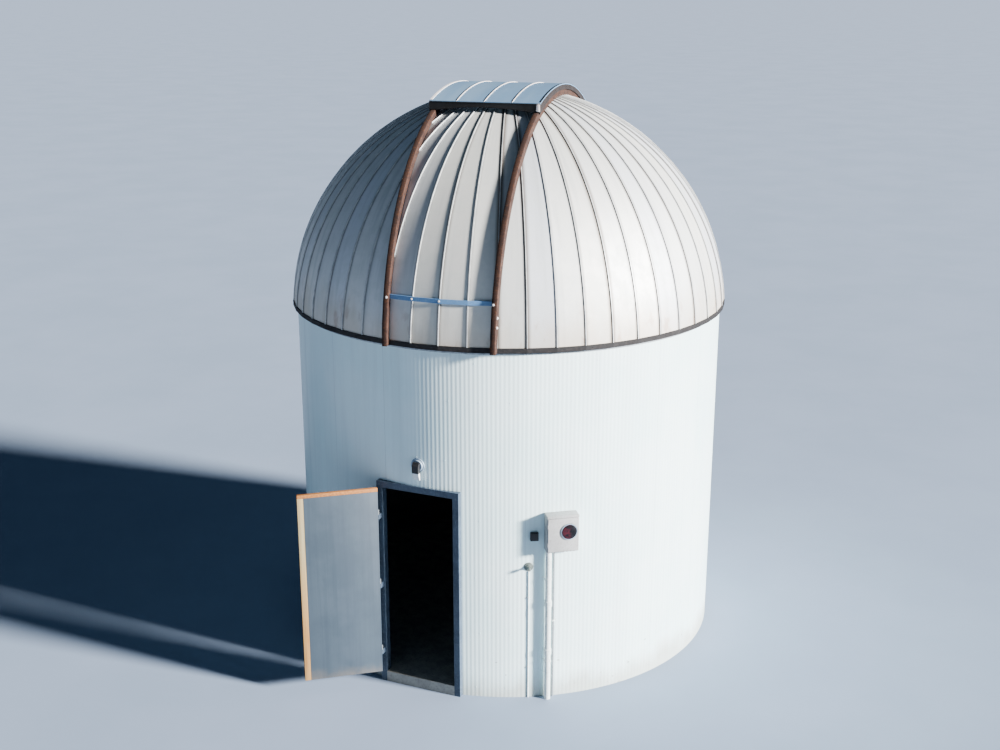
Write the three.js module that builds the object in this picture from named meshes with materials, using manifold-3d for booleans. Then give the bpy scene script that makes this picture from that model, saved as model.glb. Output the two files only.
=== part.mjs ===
// Observatory dome building: a round metal-clad wall with a doorway, a gored dome that turns on
// rollers, a shutter that runs over the dome on two arched rails, and an outward opening door.
//
// Frame: origin on the building's axis at ground level, +Z up, the doorway faces -Y.
// An azimuth is measured from -Y towards +X, so azimuth 90 is +X. Millimetres and degrees.

import * as THREE from 'three';
import { mergeVertices } from 'three/addons/utils/BufferGeometryUtils.js';
import Module from 'manifold-3d';

const wasm = await Module();
wasm.setup();

// Clearance between pieces that are fastened to each other
const SEAT = 0.3;

// Round wall
const WALL_R = 2687;
const WALL_THICKNESS = 120;
const WALL_INNER_R = WALL_R - WALL_THICKNESS;
const WALL_TOP = 4225;
const WALL_PANELS = 9;
const PANEL_FACETS = 6;

// Floor
const FLOOR_TOP = 130;

// Doorway
const DOORWAY_HALF = 450;
const JAMB_WIDTH = 75;
const DOORWAY_TOP = 2520;
const HEAD_TOP = DOORWAY_TOP + JAMB_WIDTH;
const FRAME_FRONT = -2700;
const FRAME_BACK = -2600;
const FRAME_HALF = DOORWAY_HALF + JAMB_WIDTH;

// Door leaf, laid over the front of its frame
const HINGE_X = -475;
const HINGE_Y = -2760;
const LEAF_OPEN = -142.5;
const LEAF_START = 10;
const LEAF_WIDTH = 927;
const LEAF_FRONT = 8;
const LEAF_THICKNESS = 45;
const LEAF_BOTTOM = 185;
const LEAF_HEIGHT = 2362;
const FREE_BOARD = 70;
const TOP_BOARD = 42;
const HINGE_HEIGHTS = [450, 1320, 2200];
const BARREL_R = 9;
const BARREL_LENGTH = 60;
const STRAP_LENGTH = 260;
const STRAP_HEIGHT = 50;
const STRAP_THICKNESS = 6;
const KNOB = { height: 1130, radius: 27, depth: 62, roseRadius: 36, roseDepth: 10 };

// Wall plate and dome rollers
const PLATE_THICKNESS = 15;
const PLATE_TOP = WALL_TOP + SEAT + PLATE_THICKNESS;
const ROLLERS = 8;
const ROLLER_R = 27;
const ROLLER_TRACK_R = 2665;
const ROLLER_WIDTH = 30;
const CHEEK_THICKNESS = 6;

// Dome: part of a sphere, on a turning ring
const DOME_R = 2750;
const DOME_CENTRE_Z = 4133;
const DOME_THICKNESS = 30;
const DOME_TURN = 6.4;
const GORES = 52;
const GORES_PER_PANEL = 4;
const GORE_ANGLE = 360 / GORES;
const DOME_PANELS = GORES / GORES_PER_PANEL;
const DOME_ROWS = 12;
const DOME_TIP_ELEVATION = 89;
const RING_R = 2746;
const RING_BOTTOM = 4260;
const RING_TOP = 4315;
const RING_INNER_R = 2640;
const RING_PLATE = 15;
const RING_SKIRT = 12;

// Slit and rails; n is the offset from the slit's middle plane
const SLIT_HALF = 580;
const SLIT_SILL_ELEVATION = 25;
const SLIT_REAR_ANGLE = 12;
const RAIL_N = 628;
const RAIL_WIDTH = 60;
const RAIL_HEIGHT = 75;
const RAIL_STEPS = 48;
const RAIL_BLOCK = { from: 2650, to: 2700 };
const RAIL_FOOT_R = DOME_R + 2;
const RAIL_TOP_R = Math.round(Math.sqrt(RAIL_FOOT_R ** 2 - RAIL_N ** 2)) + RAIL_HEIGHT;

// Shutter, closed over the slit; angles run from the zenith, positive towards the rear
const SHUTTER_R = 2813;
const SHUTTER_THICKNESS = 20;
const SHUTTER_HALF = 676;
const SHUTTER_FRONT = -67;
const SHUTTER_REAR_Y = 1024;
const SHUTTER_FLAT_START = -4.4;
const SHUTTER_FLAT_R = 3349;
const SHUTTER_STEPS = 16;
const SIDE_THICKNESS = 12;
const SIDE_LOW_R = 2736;
const LIP_THICKNESS = 12;
const LIP_TOP = 2669;
const RAIL_CLEARANCE = 6;
const DOME_CLEARANCE = 45;
const LIP_FLATNESS = 0.8;
const RUNNER_LENGTH = 100;
const RUNNER_DROP = 9;
const RUNNER_STEPS = [-17, 5];

// Stop strap from rail to rail, held clear of the seams between the gores
const STRAP_LOW = 645;
const STRAP_BAR_HEIGHT = 50;
const STRAP_BAR_R = 2675;
const STRAP_BAR_THICKNESS = 14;

// Fittings on the wall: azimuth, heights and sizes
const METER_AZ = 35.6;
const METER_BOTTOM = 1914;
const METER_BOX = { width: 375, depth: 155, height: 445 };
const METER_DIAL = { offset: 68, height: 252, radius: 98, depth: 26 };
const CONDUIT = { azimuth: 32.6, radius: 36, standoff: 60 };
const THIN_CONDUIT = { azimuth: 34.1, radius: 13, standoff: 20 };
const SPIGOT = { azimuth: 27.9, height: 1690, radius: 54, depth: 30, rod: 100, rodRadius: 12, pipeRadius: 8 };
const CABLE_BOX = { azimuth: 29.2, bottom: 2025, size: 97, depth: 50 };
const LAMP_X = 14;
const LAMP_Z = 2860;
const LAMP = { plateRadius: 85, plateDepth: 28, headWidth: 80, headDepth: 54, headHeight: 80, inPlate: 5 };
const LENS = { width: 84, depth: 38, height: 84, inset: 10 };

const rad = THREE.MathUtils.degToRad;
const deg = THREE.MathUtils.radToDeg;

// Point at a radius and azimuth, seen from above
function polar(radius, azimuth) {
  return new THREE.Vector2(radius * Math.sin(rad(azimuth)), -radius * Math.cos(rad(azimuth)));
}

// Azimuth at which a circle reaches a given x
function azimuthAt(radius, x) {
  return deg(Math.asin(x / radius));
}

function evenly(from, to, steps) {
  return Array.from({ length: steps + 1 }, (_, i) => from + (to - from) * i / steps);
}

// Closed mesh from corner positions and triangles, turned so that its faces point out
function closedMesh(corners, triangles) {
  let volume = 0;
  for (const [a, b, c] of triangles) {
    volume += corners[a].dot(new THREE.Vector3().crossVectors(corners[b], corners[c]));
  }
  const index = triangles.flatMap(([a, b, c]) => (volume > 0 ? [a, b, c] : [a, c, b]));
  const geometry = new THREE.BufferGeometry();
  geometry.setAttribute('position', new THREE.Float32BufferAttribute(corners.flatMap((p) => p.toArray()), 3));
  geometry.setIndex(index);
  return geometry;
}

// Solid swept through stations: each station is the same closed outline at another place
function sweep(stations) {
  const size = stations[0].length;
  const last = stations.length - 1;
  const triangles = [];
  for (let s = 0; s < last; s += 1) {
    for (let i = 0; i < size; i += 1) {
      const a = s * size + i;
      const b = s * size + (i + 1) % size;
      triangles.push([a, b, b + size], [a, b + size, a + size]);
    }
  }
  for (let i = 1; i < size - 1; i += 1) {
    triangles.push([0, i + 1, i], [last * size, last * size + i, last * size + i + 1]);
  }
  return closedMesh(stations.flat(), triangles);
}

// Upright prism over a plan outline
function prism(points, bottom, top) {
  const geometry = new THREE.ExtrudeGeometry(new THREE.Shape(points), { depth: top - bottom, bevelEnabled: false });
  return geometry.translate(0, 0, bottom);
}

// Plan outline between two arcs; each arc is a radius and its list of azimuths
function ringOutline(outerR, outerAzimuths, innerR, innerAzimuths) {
  const outer = outerAzimuths.map((a) => polar(outerR, a));
  const inner = innerAzimuths.map((a) => polar(innerR, a)).reverse();
  return [...outer, ...inner];
}

function box(x0, x1, y0, y1, z0, z1) {
  const geometry = new THREE.BoxGeometry(x1 - x0, y1 - y0, z1 - z0);
  return geometry.translate((x0 + x1) / 2, (y0 + y1) / 2, (z0 + z1) / 2);
}

// Cylinder along Z, or along Y where it stands out from a wall
function upright(radius, x, y, z0, z1, sides) {
  const geometry = new THREE.CylinderGeometry(radius, radius, z1 - z0, sides);
  return geometry.rotateX(Math.PI / 2).translate(x, y, (z0 + z1) / 2);
}

function outward(radius, x, z, y0, y1, sides) {
  const geometry = new THREE.CylinderGeometry(radius, radius, y1 - y0, sides);
  return geometry.translate(x, (y0 + y1) / 2, z);
}

function solid(geometry) {
  const bare = geometry.clone();
  bare.deleteAttribute('normal');
  bare.deleteAttribute('uv');
  const merged = mergeVertices(bare, 1e-3);
  return new wasm.Manifold(new wasm.Mesh({
    numProp: 3,
    vertProperties: new Float32Array(merged.attributes.position.array),
    triVerts: new Uint32Array(merged.index.array),
  }));
}

function geometryOf(manifold) {
  const mesh = manifold.getMesh();
  const geometry = new THREE.BufferGeometry();
  geometry.setAttribute('position', new THREE.BufferAttribute(mesh.vertProperties, 3));
  geometry.setIndex(new THREE.BufferAttribute(mesh.triVerts, 1));
  return geometry;
}

function joined(...geometries) {
  return geometryOf(geometries.map(solid).reduce((a, b) => a.add(b)));
}

function cut(geometry, cutter) {
  return geometryOf(solid(geometry).subtract(solid(cutter)));
}

const COLOURS = {
  paint: 0xe6f1f2,
  concrete: 0xb4b2aa,
  frame: 0x6f8190,
  door: 0xd8dcdc,
  wood: 0xc98a45,
  zinc: 0x9ba3a8,
  gore: 0xc9cdd0,
  rust: 0x7c4527,
  ring: 0x3b2c26,
  sheet: 0xb4c3cf,
  lip: 0x3c4148,
  enclosure: 0xb9b6ae,
  dial: 0x1c1a1c,
  pipe: 0xd0d1cf,
  lamp: 0x2a2d33,
  lens: 0xf1f3f4,
};

function finish(colour, roughness, metalness) {
  return new THREE.MeshStandardMaterial({ color: COLOURS[colour], roughness, metalness });
}

const observatory = new THREE.Group();

function piece(parent, name, geometry, material) {
  const mesh = new THREE.Mesh(geometry, material);
  mesh.name = name;
  parent.add(mesh);
  return mesh;
}

// Wall: panels from one side of the doorway round to the other, and one over the doorway
const wallEdge = { outer: azimuthAt(WALL_R, FRAME_HALF + SEAT), inner: azimuthAt(WALL_INNER_R, FRAME_HALF + SEAT) };
const wallSpan = 360 - 2 * wallEdge.outer;
const panelSpan = wallSpan / WALL_PANELS;
const jointHalf = deg(SEAT / 2 / WALL_R);
const wallVertices = evenly(wallEdge.outer, 360 - wallEdge.outer, WALL_PANELS * PANEL_FACETS);

function wallPanel(index) {
  const first = index === 0;
  const last = index === WALL_PANELS - 1;
  const from = wallEdge.outer + index * panelSpan;
  const azimuths = evenly(from, from + panelSpan, PANEL_FACETS);
  const outer = [...azimuths];
  const inner = [...azimuths];
  outer[0] += first ? 0 : jointHalf;
  inner[0] = first ? wallEdge.inner : outer[0];
  outer[PANEL_FACETS] -= last ? 0 : jointHalf;
  inner[PANEL_FACETS] = last ? 360 - wallEdge.inner : outer[PANEL_FACETS];
  return prism(ringOutline(WALL_R, outer, WALL_INNER_R, inner), 0, WALL_TOP);
}

for (let i = 0; i < WALL_PANELS; i += 1) {
  piece(observatory, `wall_panel_${i + 1}`, wallPanel(i), finish('paint', 0.55, 0.1));
}

const overDoor = {
  outer: azimuthAt(WALL_R, FRAME_HALF - SEAT / 2),
  inner: azimuthAt(WALL_INNER_R, FRAME_HALF - SEAT / 2),
};
const overDoorOutline = ringOutline(
  WALL_R, evenly(-overDoor.outer, overDoor.outer, 4),
  WALL_INNER_R, evenly(-overDoor.inner, overDoor.inner, 4),
);
piece(observatory, 'wall_over_door', prism(overDoorOutline, HEAD_TOP + SEAT, WALL_TOP), finish('paint', 0.55, 0.1));

// Floor slab inside the wall, with a straight front edge behind the door frame
const floorR = WALL_INNER_R - SEAT;
const floorFront = FRAME_BACK + SEAT;
const floorAzimuths = [wallEdge.inner, ...wallVertices.slice(1, -1), 360 - wallEdge.inner];
const floorPoints = [
  ...floorAzimuths.map((a) => polar(floorR, a)),
  new THREE.Vector2(-FRAME_HALF, floorFront),
  new THREE.Vector2(FRAME_HALF, floorFront),
];
piece(observatory, 'floor_slab', prism(floorPoints, 0, FLOOR_TOP), finish('concrete', 0.9, 0));

// Door frame and sill
const sillHalf = DOORWAY_HALF - SEAT;
piece(observatory, 'door_sill', box(-sillHalf, sillHalf, FRAME_FRONT, FRAME_BACK, 0, FLOOR_TOP), finish('concrete', 0.85, 0));

// Fixed half of each loose-pin hinge: an arm from the jamb out to the lower barrel
function fixedHinge(z) {
  const arm = box(HINGE_X - BARREL_R, HINGE_X + BARREL_R, HINGE_Y, FRAME_FRONT + 5, z - BARREL_LENGTH, z);
  return joined(arm, upright(BARREL_R, HINGE_X, HINGE_Y, z - BARREL_LENGTH, z, 12));
}

const leftJamb = box(-FRAME_HALF, -DOORWAY_HALF, FRAME_FRONT, FRAME_BACK, 0, DOORWAY_TOP - SEAT);
const rightJamb = box(DOORWAY_HALF, FRAME_HALF, FRAME_FRONT, FRAME_BACK, 0, DOORWAY_TOP - SEAT);
const head = box(-FRAME_HALF, FRAME_HALF, FRAME_FRONT, FRAME_BACK, DOORWAY_TOP, HEAD_TOP);
piece(observatory, 'door_jamb_left', joined(leftJamb, ...HINGE_HEIGHTS.map(fixedHinge)), finish('frame', 0.5, 0.3));
piece(observatory, 'door_jamb_right', rightJamb, finish('frame', 0.5, 0.3));
piece(observatory, 'door_head', head, finish('frame', 0.5, 0.3));

// Wall plate with the stands of the rollers that carry the dome
function rollerStand(azimuth) {
  const axle = PLATE_TOP + (RING_TOP - RING_PLATE - SEAT - PLATE_TOP) - ROLLER_R;
  const half = ROLLER_WIDTH / 2 + CHEEK_THICKNESS;
  const wheel = outward(ROLLER_R, 0, axle, -ROLLER_TRACK_R - half + 1, -ROLLER_TRACK_R + half - 1, 16);
  const cheeks = [-1, 1].map((side) => {
    const middle = -ROLLER_TRACK_R + side * (ROLLER_WIDTH / 2 + CHEEK_THICKNESS / 2);
    return box(-25, 25, middle - CHEEK_THICKNESS / 2, middle + CHEEK_THICKNESS / 2, PLATE_TOP - 5, axle + 12);
  });
  return joined(wheel, ...cheeks).rotateZ(rad(azimuth));
}

const plateAzimuths = evenly(0, 360, WALL_PANELS * PANEL_FACETS);
const plateProfile = [
  new THREE.Vector2(WALL_INNER_R + 5, WALL_TOP + SEAT),
  new THREE.Vector2(WALL_R + 3, WALL_TOP + SEAT),
  new THREE.Vector2(WALL_R + 3, PLATE_TOP),
  new THREE.Vector2(WALL_INNER_R + 5, PLATE_TOP),
  new THREE.Vector2(WALL_INNER_R + 5, WALL_TOP + SEAT),
];
const plate = new THREE.LatheGeometry(plateProfile, plateAzimuths.length - 1).rotateX(Math.PI / 2);
const stands = evenly(0, 360, ROLLERS).slice(1).map(rollerStand);
piece(observatory, 'wall_plate_with_rollers', joined(plate, ...stands), finish('zinc', 0.5, 0.7));

// Distance from the axis to a flat back that touches the faceted wall, for a fitting of some half width
function wallSeat(azimuth, halfWidth) {
  const near = wallVertices.slice(1).map((a, i) => (a + wallVertices[i]) / 2 - azimuth).filter((d) => Math.abs(d) < 45);
  const faceDistance = WALL_R * Math.cos(rad(wallSpan / WALL_PANELS / PANEL_FACETS / 2));
  const surface = (t) => Math.min(...near.map((d) => (faceDistance - t * Math.sin(rad(d))) / Math.cos(rad(d))));
  const corners = wallVertices.map((a) => WALL_R * Math.sin(rad(a - azimuth))).filter((t) => Math.abs(t) < halfWidth);
  return Math.max(...[-halfWidth, halfWidth, ...corners].map(surface)) + SEAT;
}

function onWall(azimuth, halfWidth) {
  const group = new THREE.Group();
  group.rotation.z = rad(azimuth);
  observatory.add(group);
  return { group, seat: wallSeat(azimuth, halfWidth) };
}

const meter = onWall(METER_AZ, METER_BOX.width / 2);
const meterFront = -meter.seat - METER_BOX.depth;
const meterTop = METER_BOTTOM + METER_BOX.height;
const meterBox = box(-METER_BOX.width / 2, METER_BOX.width / 2, meterFront, -meter.seat, METER_BOTTOM, meterTop);
piece(meter.group, 'meter_box', meterBox, finish('enclosure', 0.6, 0.2));
const dialZ = METER_BOTTOM + METER_DIAL.height;
const dial = outward(METER_DIAL.radius, METER_DIAL.offset, dialZ, meterFront - METER_DIAL.depth, meterFront - SEAT, 24);
piece(meter.group, 'meter_dial', dial, finish('dial', 0.2, 0));

for (const [name, size] of [['meter_conduit', CONDUIT], ['thin_conduit', THIN_CONDUIT]]) {
  const { group, seat } = onWall(size.azimuth, size.radius);
  const pipe = upright(size.radius, 0, -seat - size.standoff, 0, METER_BOTTOM - SEAT, 12);
  piece(group, name, pipe, finish('pipe', 0.45, 0.2));
}

const spigot = onWall(SPIGOT.azimuth, SPIGOT.radius);
const spigotPlate = outward(SPIGOT.radius, 0, SPIGOT.height, -spigot.seat - SPIGOT.depth, -spigot.seat, 16);
const spigotRod = outward(SPIGOT.rodRadius, 0, SPIGOT.height, -spigot.seat - SPIGOT.rod, -spigot.seat - 10, 10);
piece(spigot.group, 'wall_spigot', joined(spigotPlate, spigotRod), finish('zinc', 0.5, 0.6));
const spigotPipeTop = SPIGOT.height - SPIGOT.radius - SEAT;
const spigotPipe = upright(SPIGOT.pipeRadius, 0, -spigot.seat - SPIGOT.pipeRadius, 0, spigotPipeTop, 10);
piece(spigot.group, 'spigot_pipe', spigotPipe, finish('pipe', 0.45, 0.2));

const cable = onWall(CABLE_BOX.azimuth, CABLE_BOX.size / 2);
const cableBox = box(
  -CABLE_BOX.size / 2, CABLE_BOX.size / 2, -cable.seat - CABLE_BOX.depth, -cable.seat,
  CABLE_BOX.bottom, CABLE_BOX.bottom + CABLE_BOX.size,
);
piece(cable.group, 'cable_box', cableBox, finish('dial', 0.5, 0));

const lampBack = -WALL_R - SEAT;
const lampPlate = outward(LAMP.plateRadius, LAMP_X, LAMP_Z, lampBack - LAMP.plateDepth, lampBack, 20);
const lampFront = lampBack - LAMP.plateDepth + LAMP.inPlate;
const lampHead = box(
  LAMP_X - LAMP.headWidth / 2, LAMP_X + LAMP.headWidth / 2, lampFront - LAMP.headDepth, lampFront,
  LAMP_Z - LAMP.headHeight, LAMP_Z + 30,
);
piece(observatory, 'wall_lamp', joined(lampPlate, lampHead), finish('lamp', 0.5, 0.3));
const lensTop = LAMP_Z - LAMP.headHeight - SEAT;
const lensBack = lampFront - LENS.inset;
const lens = box(
  LAMP_X - LENS.width / 2, LAMP_X + LENS.width / 2, lensBack - LENS.depth, lensBack,
  lensTop - LENS.height, lensTop,
);
piece(observatory, 'wall_lamp_lens', lens, finish('lens', 0.2, 0));

// Door: modelled closed about its hinge axis, then swung open
const door = new THREE.Group();
door.position.set(HINGE_X, HINGE_Y, 0);
door.rotation.z = rad(LEAF_OPEN);
observatory.add(door);

const leafEnd = LEAF_START + LEAF_WIDTH;
const leafTop = LEAF_BOTTOM + LEAF_HEIGHT;
const leafBack = LEAF_FRONT + LEAF_THICKNESS;
const coreEnd = leafEnd - FREE_BOARD - SEAT;
const coreTop = leafTop - TOP_BOARD - SEAT;
piece(door, 'door_leaf', box(LEAF_START, coreEnd, LEAF_FRONT, leafBack, LEAF_BOTTOM, coreTop), finish('door', 0.6, 0));
const freeEdge = box(leafEnd - FREE_BOARD, leafEnd, LEAF_FRONT, leafBack, LEAF_BOTTOM, coreTop);
piece(door, 'door_edge_free', freeEdge, finish('wood', 0.8, 0));
const topEdge = box(LEAF_START, leafEnd, LEAF_FRONT, leafBack, leafTop - TOP_BOARD, leafTop);
piece(door, 'door_edge_top', topEdge, finish('wood', 0.8, 0));

HINGE_HEIGHTS.forEach((z, i) => {
  const strapY = LEAF_FRONT - SEAT;
  const strap = box(0, STRAP_LENGTH, strapY - STRAP_THICKNESS, strapY, z + SEAT, z + STRAP_HEIGHT);
  const barrel = upright(BARREL_R, 0, 0, z + SEAT, z + BARREL_LENGTH, 12);
  piece(door, `door_strap_${i + 1}`, joined(strap, barrel), finish('zinc', 0.5, 0.6));
});

const knobX = coreEnd - 60;
const knobBack = LEAF_FRONT - SEAT;
const rose = outward(KNOB.roseRadius, knobX, KNOB.height, knobBack - KNOB.roseDepth, knobBack, 16);
const knob = outward(KNOB.radius, knobX, KNOB.height, knobBack - KNOB.depth, knobBack - KNOB.roseDepth + 2, 16);
piece(door, 'door_knob', joined(rose, knob), finish('zinc', 0.4, 0.8));

// Dome: local +Y is the slit's side, -Y its rear, and the sphere's centre is the local origin
const dome = new THREE.Group();
dome.position.z = DOME_CENTRE_Z;
dome.rotation.z = rad(DOME_TURN);
observatory.add(dome);

const ringLow = RING_BOTTOM - DOME_CENTRE_Z;
const ringHigh = RING_TOP - DOME_CENTRE_Z;
const ringProfile = [
  [RING_R - RING_SKIRT, ringLow], [RING_R, ringLow], [RING_R, ringHigh], [RING_INNER_R, ringHigh],
  [RING_INNER_R, ringHigh - RING_PLATE], [RING_R - RING_SKIRT, ringHigh - RING_PLATE], [RING_R - RING_SKIRT, ringLow],
].map(([r, z]) => new THREE.Vector2(r, z));
const ring = new THREE.LatheGeometry(ringProfile, GORES).rotateX(Math.PI / 2);
piece(dome, 'base_ring', ring, finish('ring', 0.6, 0.5));

// Dome panel of several flat gores: bottom edge level on the ring, then rows of equal elevation
const shellBottom = ringHigh + SEAT;
function shellPoint(radius, azimuth, row) {
  if (row === 0) {
    const p = polar(Math.sqrt(radius ** 2 - shellBottom ** 2), azimuth);
    return new THREE.Vector3(p.x, p.y, shellBottom);
  }
  const start = deg(Math.asin(shellBottom / radius));
  const elevation = start + (DOME_TIP_ELEVATION - start) * row / DOME_ROWS;
  const p = polar(radius * Math.cos(rad(elevation)), azimuth);
  return new THREE.Vector3(p.x, p.y, radius * Math.sin(rad(elevation)));
}

function domePanel(middle) {
  const half = GORES_PER_PANEL / 2 * GORE_ANGLE;
  const azimuths = evenly(middle - half, middle + half, GORES_PER_PANEL);
  azimuths[0] += deg(SEAT / DOME_R);
  azimuths[GORES_PER_PANEL] -= deg(SEAT / DOME_R);
  const corners = [];
  for (const radius of [DOME_R, DOME_R - DOME_THICKNESS]) {
    for (let row = 0; row <= DOME_ROWS; row += 1) {
      corners.push(...azimuths.map((a) => shellPoint(radius, a, row)));
    }
  }
  const across = azimuths.length;
  const layer = across * (DOME_ROWS + 1);
  const triangles = [];
  const quad = (a, b, c, d) => triangles.push([a, b, c], [a, c, d]);
  for (let row = 0; row < DOME_ROWS; row += 1) {
    for (let i = 0; i < across - 1; i += 1) {
      const a = row * across + i;
      quad(a, a + 1, a + 1 + across, a + across);
      quad(layer + a, layer + a + across, layer + a + 1 + across, layer + a + 1);
    }
    const left = row * across;
    const right = left + across - 1;
    quad(left, left + across, layer + left + across, layer + left);
    quad(right, layer + right, layer + right + across, right + across);
  }
  for (let i = 0; i < across - 1; i += 1) {
    const top = DOME_ROWS * across + i;
    quad(i, layer + i, layer + i + 1, i + 1);
    quad(top, top + 1, layer + top + 1, layer + top);
  }
  return closedMesh(corners, triangles);
}

const sillHeight = DOME_R * Math.sin(rad(SLIT_SILL_ELEVATION));
const slitRear = -DOME_R * Math.sin(rad(SLIT_REAR_ANGLE));
const slitCutter = box(-SLIT_HALF, SLIT_HALF, slitRear, 2 * DOME_R, sillHeight, 2 * DOME_R);
for (let i = 0; i < DOME_PANELS; i += 1) {
  const panel = cut(domePanel(180 + i * GORES_PER_PANEL * GORE_ANGLE), slitCutter);
  const name = i === 0 ? 'slit_lower_panel' : `dome_panel_${i}`;
  piece(dome, name, panel, finish('gore', 0.45, 0.5));
}

// Point of an arch over the dome: n across, a radius about the shutter's axis, an angle from the zenith
function archPoint(n, radius, angle) {
  return new THREE.Vector3(n, -radius * Math.sin(rad(angle)), radius * Math.cos(rad(angle)));
}

// Rails: arches over the dome, with a foot that follows its slope. Both ends reach down over the
// ring, and a block behind each end is cut to sit on the ring's outer face.
const ringCutter = upright(RING_R + SEAT, 0, 0, ringLow - SEAT, shellBottom, GORES);
function rail(side) {
  const near = side * (RAIL_N - RAIL_WIDTH / 2);
  const far = side * (RAIL_N + RAIL_WIDTH / 2);
  const outline = [
    [near, Math.sqrt(RAIL_FOOT_R ** 2 - near ** 2)], [far, Math.sqrt(RAIL_FOOT_R ** 2 - far ** 2)],
    [far, RAIL_TOP_R], [near, RAIL_TOP_R],
  ];
  const stations = evenly(-1, 1, RAIL_STEPS).map((t) => outline.map(([n, radius]) => {
    const footAngle = deg(Math.acos(ringLow / radius));
    return archPoint(n, radius, t * footAngle);
  }));
  const [x0, x1] = [near, far].sort((a, b) => a - b);
  const blocks = [
    box(x0, x1, -RAIL_BLOCK.to, -RAIL_BLOCK.from, ringLow, ringHigh),
    box(x0, x1, RAIL_BLOCK.from, RAIL_BLOCK.to, ringLow, ringHigh),
  ];
  return cut(joined(sweep(stations), ...blocks), ringCutter);
}
piece(dome, 'rail_left', rail(-1), finish('rust', 0.85, 0.2));
piece(dome, 'rail_right', rail(1), finish('rust', 0.85, 0.2));

// Strap between the rails, on the rear side, that stops the opening shutter
const strapReach = RAIL_N - RAIL_WIDTH / 2 - SEAT;
const strapOuterR = STRAP_BAR_R + STRAP_BAR_THICKNESS;
const strapAzimuths = (radius) => {
  const end = azimuthAt(radius, strapReach);
  return [-end, -GORE_ANGLE, 0, GORE_ANGLE, end];
};
const strapOutline = ringOutline(strapOuterR, strapAzimuths(strapOuterR), STRAP_BAR_R, strapAzimuths(STRAP_BAR_R));
piece(dome, 'stop_strap', prism(strapOutline, STRAP_LOW, STRAP_LOW + STRAP_BAR_HEIGHT), finish('sheet', 0.5, 0.4));

// Shutter: round over the dome, and a flatter arc towards its rear end
const shutter = new THREE.Group();
dome.add(shutter);

function shutterRadius(angle) {
  if (angle <= SHUTTER_FLAT_START) {
    return SHUTTER_R;
  }
  const drop = SHUTTER_FLAT_R - SHUTTER_R;
  const turn = rad(angle - SHUTTER_FLAT_START);
  return Math.sqrt(SHUTTER_FLAT_R ** 2 - (drop * Math.sin(turn)) ** 2) - drop * Math.cos(turn);
}

// Angle at which a surface under the shutter's top reaches the upright plane of its rear end
function rearAngle(radiusAt) {
  let angle = 0;
  for (let pass = 0; pass < 8; pass += 1) {
    angle = deg(Math.asin(SHUTTER_REAR_Y / radiusAt(angle)));
  }
  return angle;
}

// Solid along the shutter; each corner of its section is an offset n and a radius at each angle
function shutterSweep(section) {
  return sweep(evenly(0, 1, SHUTTER_STEPS).map((t) => section.map(([n, radiusAt]) => {
    const angle = SHUTTER_FRONT + (rearAngle(radiusAt) - SHUTTER_FRONT) * t;
    return archPoint(n, radiusAt(angle), angle);
  })));
}

const sheetUnder = (angle) => shutterRadius(angle) - SHUTTER_THICKNESS;
const sideTop = (angle) => sheetUnder(angle) - SEAT;
const sideLow = () => SIDE_LOW_R;
const sheet = shutterSweep([
  [-SHUTTER_HALF, sheetUnder], [SHUTTER_HALF, sheetUnder], [SHUTTER_HALF, shutterRadius], [-SHUTTER_HALF, shutterRadius],
]);
piece(shutter, 'shutter_sheet', sheet, finish('sheet', 0.35, 0.6));

// Runner block under the sheet, over a corner of the rail's polygon
function runner(side, step) {
  const railStep = 2 * deg(Math.acos(ringLow / RAIL_TOP_R)) / RAIL_STEPS;
  const angle = step * railStep;
  const near = side * (RAIL_N - RAIL_WIDTH / 2 + 2);
  const far = side * (SHUTTER_HALF - SIDE_THICKNESS / 2);
  const top = sheetUnder(angle) - RUNNER_DROP;
  const block = box(
    Math.min(near, far), Math.max(near, far), -RUNNER_LENGTH / 2, RUNNER_LENGTH / 2, RAIL_TOP_R + SEAT, top,
  );
  return block.rotateX(rad(angle));
}

function shutterSide(side) {
  const near = side * (SHUTTER_HALF - SIDE_THICKNESS);
  const far = side * SHUTTER_HALF;
  const plateBody = shutterSweep([[near, sideLow], [far, sideLow], [far, sideTop], [near, sideTop]]);
  return joined(plateBody, ...RUNNER_STEPS.map((step) => runner(side, step)));
}
piece(shutter, 'shutter_side_left', shutterSide(-1), finish('rust', 0.85, 0.2));
piece(shutter, 'shutter_side_right', shutterSide(1), finish('rust', 0.85, 0.2));

// End plate at a distance from the shutter's axis: over the rails, and down to the dome between them
function lipPlate(distance, top) {
  const overRails = Math.sqrt((RAIL_TOP_R + RAIL_CLEARANCE) ** 2 - distance ** 2);
  const innerHalf = RAIL_N - RAIL_WIDTH / 2 - RAIL_CLEARANCE;
  const arch = evenly(innerHalf, -innerHalf, 8).map((x) => {
    const height = Math.sqrt((DOME_R + DOME_CLEARANCE) ** 2 - distance ** 2 - (LIP_FLATNESS * x) ** 2);
    return new THREE.Vector2(x, height);
  });
  const outline = [
    new THREE.Vector2(-SHUTTER_HALF, top), new THREE.Vector2(SHUTTER_HALF, top),
    new THREE.Vector2(SHUTTER_HALF, overRails), new THREE.Vector2(innerHalf, overRails),
    ...arch,
    new THREE.Vector2(-innerHalf, overRails), new THREE.Vector2(-SHUTTER_HALF, overRails),
  ].reverse();
  return prism(outline, SEAT, SEAT + LIP_THICKNESS).rotateX(Math.PI / 2);
}
const rearLip = lipPlate(SHUTTER_REAR_Y, LIP_TOP).translate(0, -SHUTTER_REAR_Y, 0);
piece(shutter, 'shutter_rear_lip', rearLip, finish('lip', 0.6, 0.4));
const frontLip = lipPlate(0, SHUTTER_R).rotateZ(Math.PI).rotateX(rad(SHUTTER_FRONT));
piece(shutter, 'shutter_front_lip', frontLip, finish('lip', 0.6, 0.4));

export default observatory;
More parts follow.
